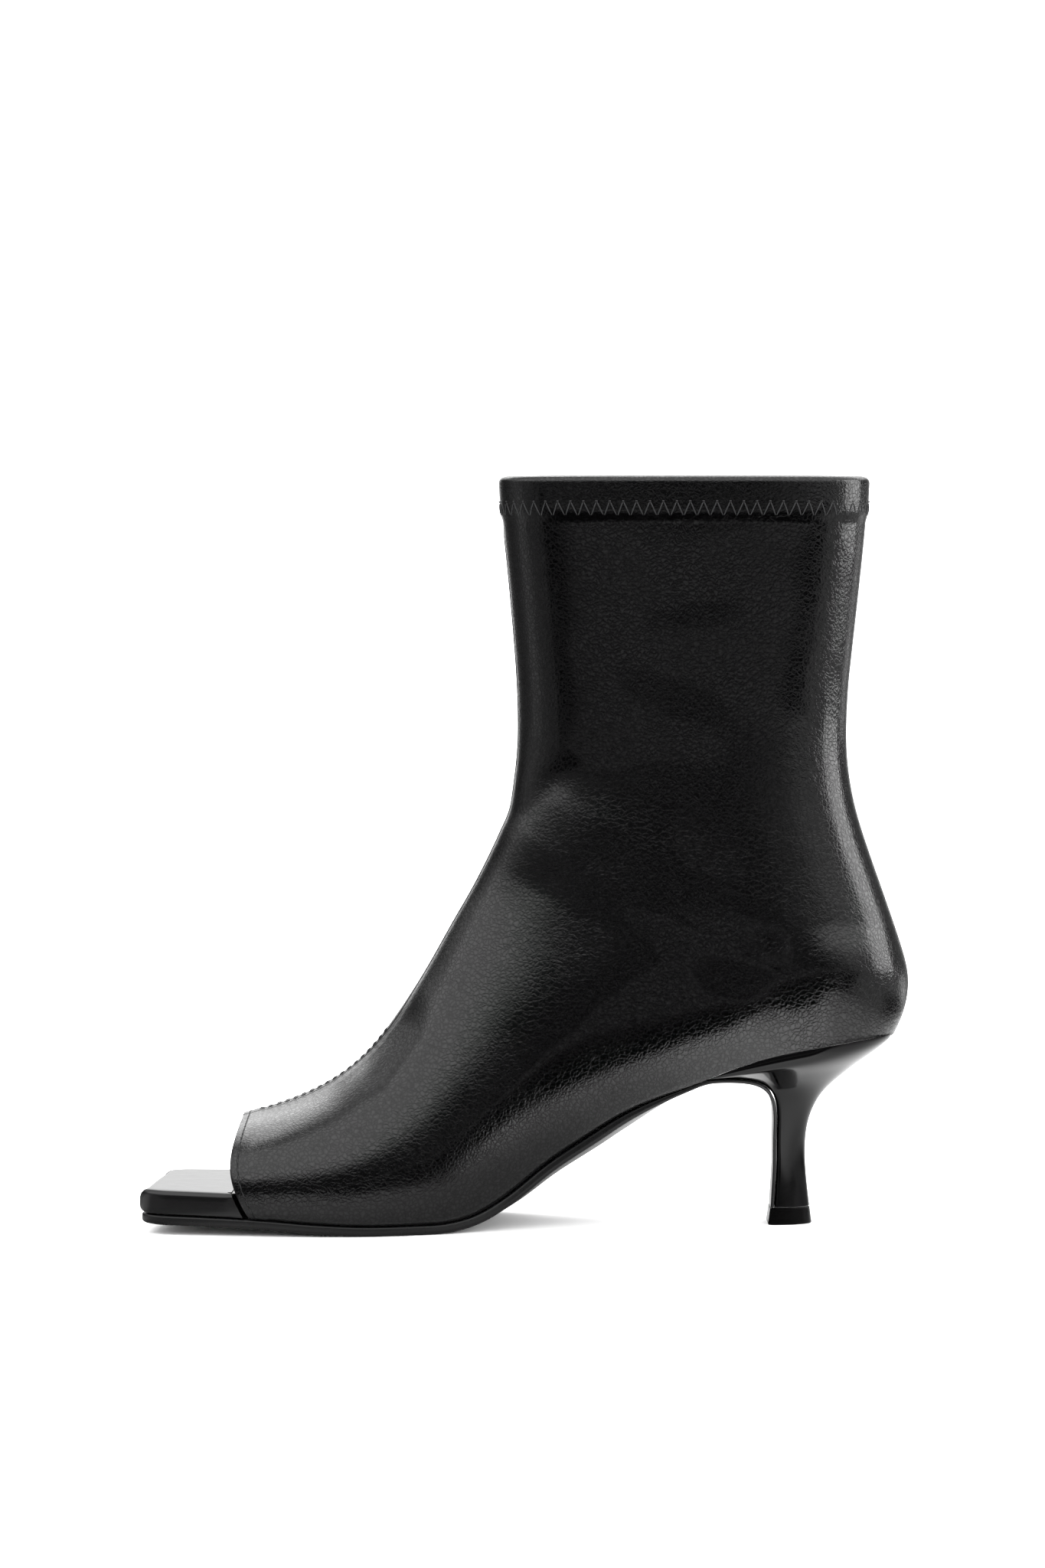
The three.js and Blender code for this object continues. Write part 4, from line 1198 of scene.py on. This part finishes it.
def heelRing(row):
    # Level section of the heel, between the breast line and its back.
    values = heelTable[row]
    front = breastLine[row] - breastNormal[row] * boot["gap"]
    rear = np.array([mix(columnBackX, seatBackX, values["back"]),
                     mix(columnFootZ, boot["heelHeight"], values["backUp"])])

    def half(side):
        seat = seatEdge(side)[:, 1]
        shape = mix(columnProfile(heelShares), seat / seat[0], values["spread"])
        wide = breastHalf(side)[row] * shape
        tilt = side * breastTilt[row] * (1 - heelShares)
        height = mix(front[1], rear[1], heelShares) - tilt
        return np.stack([mix(front[0], rear[0], heelShares), side * wide, height], -1)

    return bothSides(half)


def seatHalf(side):
    x, y = seatEdge(side).T
    return np.stack([x, y, soleTop(x, y)], -1)


def makeHeel():
    rings = np.array([bothSides(seatHalf)] + [heelRing(row) for row in range(len(heelTable))])
    runs = runLength(rings.mean(axis=1), 0)
    fine = splineRows(rings, runs, np.linspace(0, runs[-1], heel["rows"]))
    thing = loftMesh("heel_block", fine, [heelLacquer], sharp=45)
    return finished(thing, "heel")


makeHeel()


def liftRing(height, taper):
    front = breastX - heel["liftOverhang"] + taper
    half = heel["liftWidth"] / 2 - taper
    x = front + heelShares * (heel["liftDepth"] - 2 * taper)
    level = np.full(len(x), height)
    return bothSides(lambda side: np.stack([x, side * half * columnProfile(heelShares), level], -1))


def makeTopLift():
    bevel, taper, top = heel["liftBevel"], heel["liftTaper"], heel["liftHeight"]
    steps = [(top, taper + bevel), (top - bevel, taper), (bevel, heel["liftFlare"]), (0.0, bevel)]
    rings = np.array([liftRing(height, taper) for height, taper in steps])
    thing = loftMesh("top_lift_piece", rings, [liftRubber], sharp=30)
    return finished(thing, "top_lift")


makeTopLift()
print("heel and top-lift made")


# Stitches

stitches = {
    "pitch": 2.8,
    "length": 2.15,
    "thread": 0.15,          # half the thread's thickness
    "edgeLine": 1.8,         # from the toe opening's edge
    "seamLine": 1.7,         # from the vamp's centre seam
    "seamTop": 66.0,         # height at which its stitches stop
    "zigzagPitch": 4.2,
    "zigzagTop": 7.9,        # below the collar
    "zigzagFoot": 12.7,
    "zigzagThread": 0.21,
    "knot": 0.9,
}


def lineAtRun(grid, normals, runs, distance):
    # Points and directions on a grid where the run along its rows reaches a distance.
    reached = np.argmax(runs >= distance, axis=1)
    reached = np.clip(reached, 1, runs.shape[1] - 1)
    row = np.arange(len(runs))
    before, after = runs[row, reached - 1], runs[row, reached]
    share = np.clip((distance - before) / np.maximum(after - before, 1e-9), 0, 1)[:, None]
    points = mix(grid[row, reached - 1], grid[row, reached], share)
    ways = mix(normals[row, reached - 1], normals[row, reached], share)
    return points, ways / np.linalg.norm(ways, axis=-1, keepdims=True)


def alongLine(points, ways, places):
    # Points and directions at distances along a line.
    run = runLength(points, 0)
    at = np.stack([np.interp(places, run, points[:, k]) for k in range(3)], -1)
    way = np.stack([np.interp(places, run, ways[:, k]) for k in range(3)], -1)
    return at, way / np.linalg.norm(way, axis=-1, keepdims=True)


def threadTubes(starts, ends, ways, radius, lift, steps=7, sides=8):
    # Short lengths of thread, each an arch that rises out of the leather and dips back into it:
    # its height is lift times the sine of the way along, less what sinks its ends.
    t = np.linspace(0, 1, steps)[None, :, None]
    rise = lift * np.sin(math.pi * t) ** 0.6 - radius * 0.9 * (1 - np.sin(math.pi * t) ** 0.5)
    middle = mix(starts[:, None], ends[:, None], t) + ways[:, None] * rise
    run = ends - starts
    run /= np.linalg.norm(run, axis=-1, keepdims=True)
    aside = np.cross(run, ways)
    aside /= np.linalg.norm(aside, axis=-1, keepdims=True)
    turn = np.arange(sides) / sides * 2 * math.pi
    ring = (np.cos(turn)[:, None] * aside[:, None] + np.sin(turn)[:, None] * ways[:, None]) * radius
    taper = (0.45 + 0.55 * np.sin(math.pi * t[0]) ** 0.5)[None, :, :, None]
    points = middle[:, :, None] + ring[:, None] * taper
    count = len(starts)
    base = ringFaces(steps, sides)
    quads = (base[None] + (np.arange(count) * steps * sides)[:, None, None]).reshape(-1, 4)
    first = np.arange(sides)[None] + (np.arange(count) * steps * sides)[:, None]
    last = first[:, ::-1] + (steps - 1) * sides
    return points.reshape(-1, 3), [quads, first, last]


def makeStitches(name, starts, ends, ways, radius, lift):
    points, faces = threadTubes(starts, ends, ways, radius, lift)
    thing = addMesh(name, points, faces, [threadFinish], sharp=180)
    return finished(thing, "")


outerNormals = surfaceNormals(outerUpper, seatRow)


def rowOfStitches(line, ways, margin):
    length = runLength(line, 0)[-1]
    count = int((length - 2 * margin) / stitches["pitch"])
    first = margin + (length - 2 * margin - count * stitches["pitch"]) / 2
    starts = first + np.arange(count) * stitches["pitch"]
    a, wayA = alongLine(line, ways, starts)
    b, wayB = alongLine(line, ways, starts + stitches["length"])
    way = wayA + wayB
    return a, b, way / np.linalg.norm(way, axis=-1, keepdims=True)


def makeAllStitches():
    radius = stitches["thread"]
    # Along the toe opening, at one distance from its edge on every column.
    columns = outerUpper.transpose(1, 0, 2)
    turned = outerNormals.transpose(1, 0, 2)
    line, ways = lineAtRun(columns, turned, fromOpening.T, stitches["edgeLine"])
    makeStitches("opening_stitches", *rowOfStitches(line, ways, 2.0), radius, 0.04)
    # On both sides of the vamp's centre seam, from the opening up.
    high = int(np.argmax(plainUpper[:, ridgeColumn, 2] > stitches["seamTop"]))
    rows = slice(4, high)
    parts = []
    for side in (-1, 1):
        half = slice(ridgeColumn, None) if side > 0 else slice(ridgeColumn, None, -1)
        runs = np.abs(aroundUpper[rows, half])
        grid, normals = outerUpper[rows, half], outerNormals[rows, half]
        line, ways = lineAtRun(grid, normals, runs, stitches["seamLine"])
        parts.append(rowOfStitches(line, ways, 2.5))
    makeStitches("vamp_stitches", *[np.concatenate(column) for column in zip(*parts)], radius, 0.1)
    # Zigzag round the cuff, up and down between two level lines.
    upFrom = int(np.argmax(plainUpper[:, ridgeColumn, 2] > collarZ - 20))
    shaft = outerUpper[upFrom:].transpose(1, 0, 2)[:, ::-1]
    shaftWays = outerNormals[upFrom:].transpose(1, 0, 2)[:, ::-1]
    below = (collarZ - plainUpper[upFrom:, :, 2]).T[:, ::-1]
    peaks = lineAtRun(shaft, shaftWays, below, stitches["zigzagTop"])
    feet = lineAtRun(shaft, shaftWays, below, stitches["zigzagFoot"])
    length = runLength(peaks[0], 0)[-1]
    count = round(length / stitches["zigzagPitch"])
    footLength = runLength(feet[0], 0)[-1]
    steps = np.arange(count)
    top, topWay = alongLine(*peaks, (steps + 0.5) / count * length)
    left, leftWay = alongLine(*feet, steps / count * footLength)
    right, rightWay = alongLine(*feet, (steps + 1) / count * footLength)
    # Two slanted lengths and a short knot at the top of each.
    knot = np.cross(topWay, (0, 0, 1)) * stitches["knot"] / 2
    starts, ends = np.concatenate([left, top, top - knot]), np.concatenate([top, right, top + knot])
    ways = np.concatenate([leftWay + topWay, topWay + rightWay, topWay])
    ways /= np.linalg.norm(ways, axis=-1, keepdims=True)
    makeStitches("cuff_zigzag", starts, ends, ways, stitches["zigzagThread"], 0.2)


makeAllStitches()
print("stitches made")


# Floor, lights and world

stage = {
    "floorSize": 12.0,
    "floorColor": 0.9,
    "sky": 3.0,               # what the floor and the camera see of the room
    "lights": [
        # name, centre in metres, size across and up, aims at, strength in watts
        ("overhead", (0.2, 0.5, 1.3), (1.2, 0.9), (0.0, 0.0, 0.05), 9.0),
        ("frontSoft", (-0.9, -1.3, 1.2), (0.9, 0.9), (0.0, 0.0, 0.1), 2.0),
        ("heelStrip", (1.09, 0.08, 0.455), (0.6, 0.69), (0.1, -0.02, 0.455), 4.0),
    ],
    # What the gloss sees, by the way round from the camera in degrees, towards the heel above 0: the room
    # at the boot's level, the floor away from the boot, which is painted reflection in the floor's colour,
    # and the ceiling.
    "walls": [
        (-180, 1.25), (-170, 1.1), (-156, 0.08), (-128, 0.06), (-112, 0.2), (-96, 0.34), (-80, 0.28),
        (-60, 0.16), (-36, 0.15), (-16, 0.07), (10, 0.04), (30, 0.2), (48, 0.5), (60, 0.5),
        (76, 0.3), (100, 0.3), (126, 0.15), (156, 0.15), (170, 1.0), (180, 1.25),
    ],
    "paintedFarFloor": [
        (-180, 0.95), (-170, 0.9), (-156, 0.1), (-128, 0.08), (-106, 0.16), (-97, 0.44), (-87, 0.46),
        (-78, 0.2), (-60, 0.22), (-40, 0.32), (-16, 0.34), (10, 0.34), (34, 0.38), (60, 0.42),
        (100, 0.38), (116, 0.3), (126, 0.85), (135, 0.8), (144, 0.25), (156, 0.2), (170, 0.9),
        (180, 0.95),
    ],
    "ceiling": [
        (-180, 2.4), (-160, 2.4), (-149, 1.1), (-136, 0.55), (-116, 0.6), (-98, 1.35), (-20, 1.45),
        (60, 1.35), (120, 1.2), (150, 2.0), (180, 2.4),
    ],
    "ceilingFrom": 0.22,      # heights of a direction of length 1 between which it takes over
    "ceilingTo": 0.5,
    "brightest": 4.0,         # what a level of 1 in a ramp's colors stands for
    # For glossy rays the floor's colour is painted reflection and painted shade: pale by the boot, a
    # painted highlight before the heel, then painted dark towards the camera and bright again far off.
    "paintedNearFloor": 0.7,
    "paintedHeelHighlight": 1.2,
    "heelRise": (0.02, 0.085),
    "heelFall": (0.1, 0.19),
    "heelLeft": 0.3,
    "nearReach": 0.075,
    "nearSlant": 1.2,
    "nearSides": 0.2,
    "nearToe": -0.1,
    "toeFade": 0.02,
    "nearFade": 0.025,
    "paintedDarkShare": 0.03,
    "darkSlant": 0.6,
    "darkFade": 0.1,
    "brightFrom": (0.5, 1.5),
    # Beside and behind the heel it is painted dark too, out to farFrom: painted shade in the gloss.
    "heelLean": 0.7,
    "heelSide": (0.0, 0.1),
    "heelAhead": 0.05,
    "farFrom": (0.35, 0.55),
    "farShare": 0.15,
}


def aroundLevel(tree, split, key):
    # A brightness by the direction of (X, Y) from the boot: light in the world, painted reflection in the
    # floor's colour.
    back = mathNode(tree, "MULTIPLY", split.outputs["Y"], -1.0)
    turn = mathNode(tree, "ARCTAN2", split.outputs["X"], back)
    share = mathNode(tree, "MULTIPLY_ADD", turn, 0.5 / math.pi, 0.5)
    around = tree.nodes.new("ShaderNodeValToRGB")
    around.color_ramp.interpolation = "EASE"
    stops = around.color_ramp.elements
    while len(stops) < len(stage[key]):
        stops.new(0.5)
    brightest = stage["brightest"]
    for stop, (degrees, value) in zip(stops, stage[key]):
        stop.position = degrees / 360 + 0.5
    for stop, (degrees, value) in zip(stops, stage[key]):
        stop.color = (value / brightest,) * 3 + (1,)
    tree.links.new(share, around.inputs["Fac"])
    return mathNode(tree, "MULTIPLY", around.outputs["Color"], brightest)


def makeFloor():
    half = stage["floorSize"] / 2
    mesh = bpy.data.meshes.new("floor")
    corners = [(-half, -half, 0), (half, -half, 0), (half, half, 0), (-half, half, 0)]
    mesh.from_pydata(corners, [], [(0, 1, 2, 3)])
    floor = bpy.data.objects.new("floor", mesh)
    bpy.context.scene.collection.objects.link(floor)
    color = (stage["floorColor"],) * 3
    material, tree, shader = makeMaterial("floor", color, 0.9, specular=0.0)
    split = tree.nodes.new("ShaderNodeSeparateXYZ")
    tree.links.new(objectPlace(tree), split.inputs[0])
    # For glossy rays only, the floor's colour is painted: painted reflection pale by the boot and brighter
    # before the heel, painted shade towards the camera and beside the heel.
    ahead = mathNode(tree, "MULTIPLY", split.outputs["Y"], -1.0)
    aside = mathNode(tree, "ABSOLUTE", split.outputs["X"])
    beside = mathNode(tree, "MINIMUM", aside, stage["nearSides"])
    edge = mathNode(tree, "MULTIPLY_ADD", beside, stage["nearSlant"], stage["nearReach"])
    past = mathNode(tree, "SUBTRACT", ahead, edge)
    fade = stage["nearFade"]
    inFront = smoothRange(tree, past, -fade, fade, 1.0, 0.0)
    within = smoothRange(tree, aside, stage["nearSides"], 1.5 * stage["nearSides"], 1.0, 0.0)
    toe = stage["nearToe"]
    behindToe = smoothRange(tree, split.outputs["X"], toe - stage["toeFade"], toe, 0.0, 1.0)
    near = mathNode(tree, "MULTIPLY", mathNode(tree, "MULTIPLY", inFront, within), behindToe)
    depth = mathNode(tree, "MULTIPLY_ADD", aside, -stage["darkSlant"], ahead)
    paintedDarkBand = smoothRange(tree, depth, 0.0, stage["darkFade"], 1.0, stage["paintedDarkShare"])
    brightens = smoothRange(tree, depth, *stage["brightFrom"], 0.0, 1.0)
    paintedDimming = mathNode(tree, "MAXIMUM", paintedDarkBand, brightens)
    lean = mathNode(tree, "MULTIPLY_ADD", split.outputs["Y"], -stage["heelLean"], split.outputs["X"])
    beyond = smoothRange(tree, lean, *stage["heelSide"], 0.0, 1.0)
    behind = smoothRange(tree, ahead, -stage["heelAhead"], stage["heelAhead"], 1.0, 0.0)
    heelSide = mathNode(tree, "MULTIPLY", beyond, behind)
    radius = socketNode(tree, "ShaderNodeVectorMath", operation="LENGTH")
    tree.links.new(objectPlace(tree), radius.inputs[0])
    outward = smoothRange(tree, radius.outputs["Value"], *stage["farFrom"], stage["farShare"], 1.0)
    paintedDimming = mathNode(tree, "MULTIPLY", paintedDimming, mixNode(tree, heelSide, 1.0, outward))
    far = mathNode(tree, "MULTIPLY", aroundLevel(tree, split, "paintedFarFloor"), paintedDimming)
    rises = smoothRange(tree, split.outputs["X"], *stage["heelRise"], 0.0, stage["paintedHeelHighlight"])
    falls = smoothRange(tree, split.outputs["X"], *stage["heelFall"], 1.0, stage["heelLeft"])
    paintedPale = mathNode(tree, "MULTIPLY_ADD", rises, falls, stage["paintedNearFloor"])
    # Glossy rays see the painted reflection and painted shade as the floor's colour, all other rays the
    # plain floor colour.
    seen = mathNode(tree, "DIVIDE", mixNode(tree, near, far, paintedPale), stage["sky"])
    rays = tree.nodes.new("ShaderNodeLightPath")
    shade = mixNode(tree, rays.outputs["Is Glossy Ray"], stage["floorColor"], seen)
    tree.links.new(shade, shader.inputs["Base Color"])
    mesh.materials.append(material)


def makeLights():
    # The gloss sees the strip behind the heel, which ends above the floor. The others light the
    # floor and what is matt, and the gloss sees the room made below instead.
    for name, place, size, target, watts in stage["lights"]:
        data = bpy.data.lights.new(name, "AREA")
        data.shape = "RECTANGLE"
        data.size, data.size_y = size
        data.energy = watts
        light = bpy.data.objects.new(name, data)
        light.location = place
        way = Vector(target) - Vector(place)
        light.rotation_euler = way.to_track_quat("-Z", "Y").to_euler()
        light.visible_camera = False
        light.visible_glossy = name == "heelStrip"
        bpy.context.scene.collection.objects.link(light)


def makeWorld():
    # The camera and the floor see a white room. Gloss sees one with a bright ceiling, a white
    # wall behind the boot and darker walls elsewhere.
    world = bpy.data.worlds.new("studio")
    bpy.context.scene.world = world
    world.use_nodes = True
    world.cycles.sampling_method = "NONE"
    tree = world.node_tree
    tree.nodes.clear()
    rays = tree.nodes.new("ShaderNodeLightPath")
    place = tree.nodes.new("ShaderNodeTexCoord")
    split = tree.nodes.new("ShaderNodeSeparateXYZ")
    tree.links.new(place.outputs["Generated"], split.inputs[0])
    high = smoothRange(tree, split.outputs["Z"], stage["ceilingFrom"], stage["ceilingTo"], 0.0, 1.0)
    seen = mixNode(tree, high, aroundLevel(tree, split, "walls"), aroundLevel(tree, split, "ceiling"))
    shade = mixNode(tree, rays.outputs["Is Glossy Ray"], stage["sky"], seen)
    sky = tree.nodes.new("ShaderNodeBackground")
    sky.inputs["Color"].default_value = (1, 1, 1, 1)
    out = tree.nodes.new("ShaderNodeOutputWorld")
    tree.links.new(shade, sky.inputs["Strength"])
    tree.links.new(sky.outputs[0], out.inputs["Surface"])


makeFloor()
makeLights()
makeWorld()
bpy.context.scene.view_settings.view_transform = "Standard"
print("stage set")
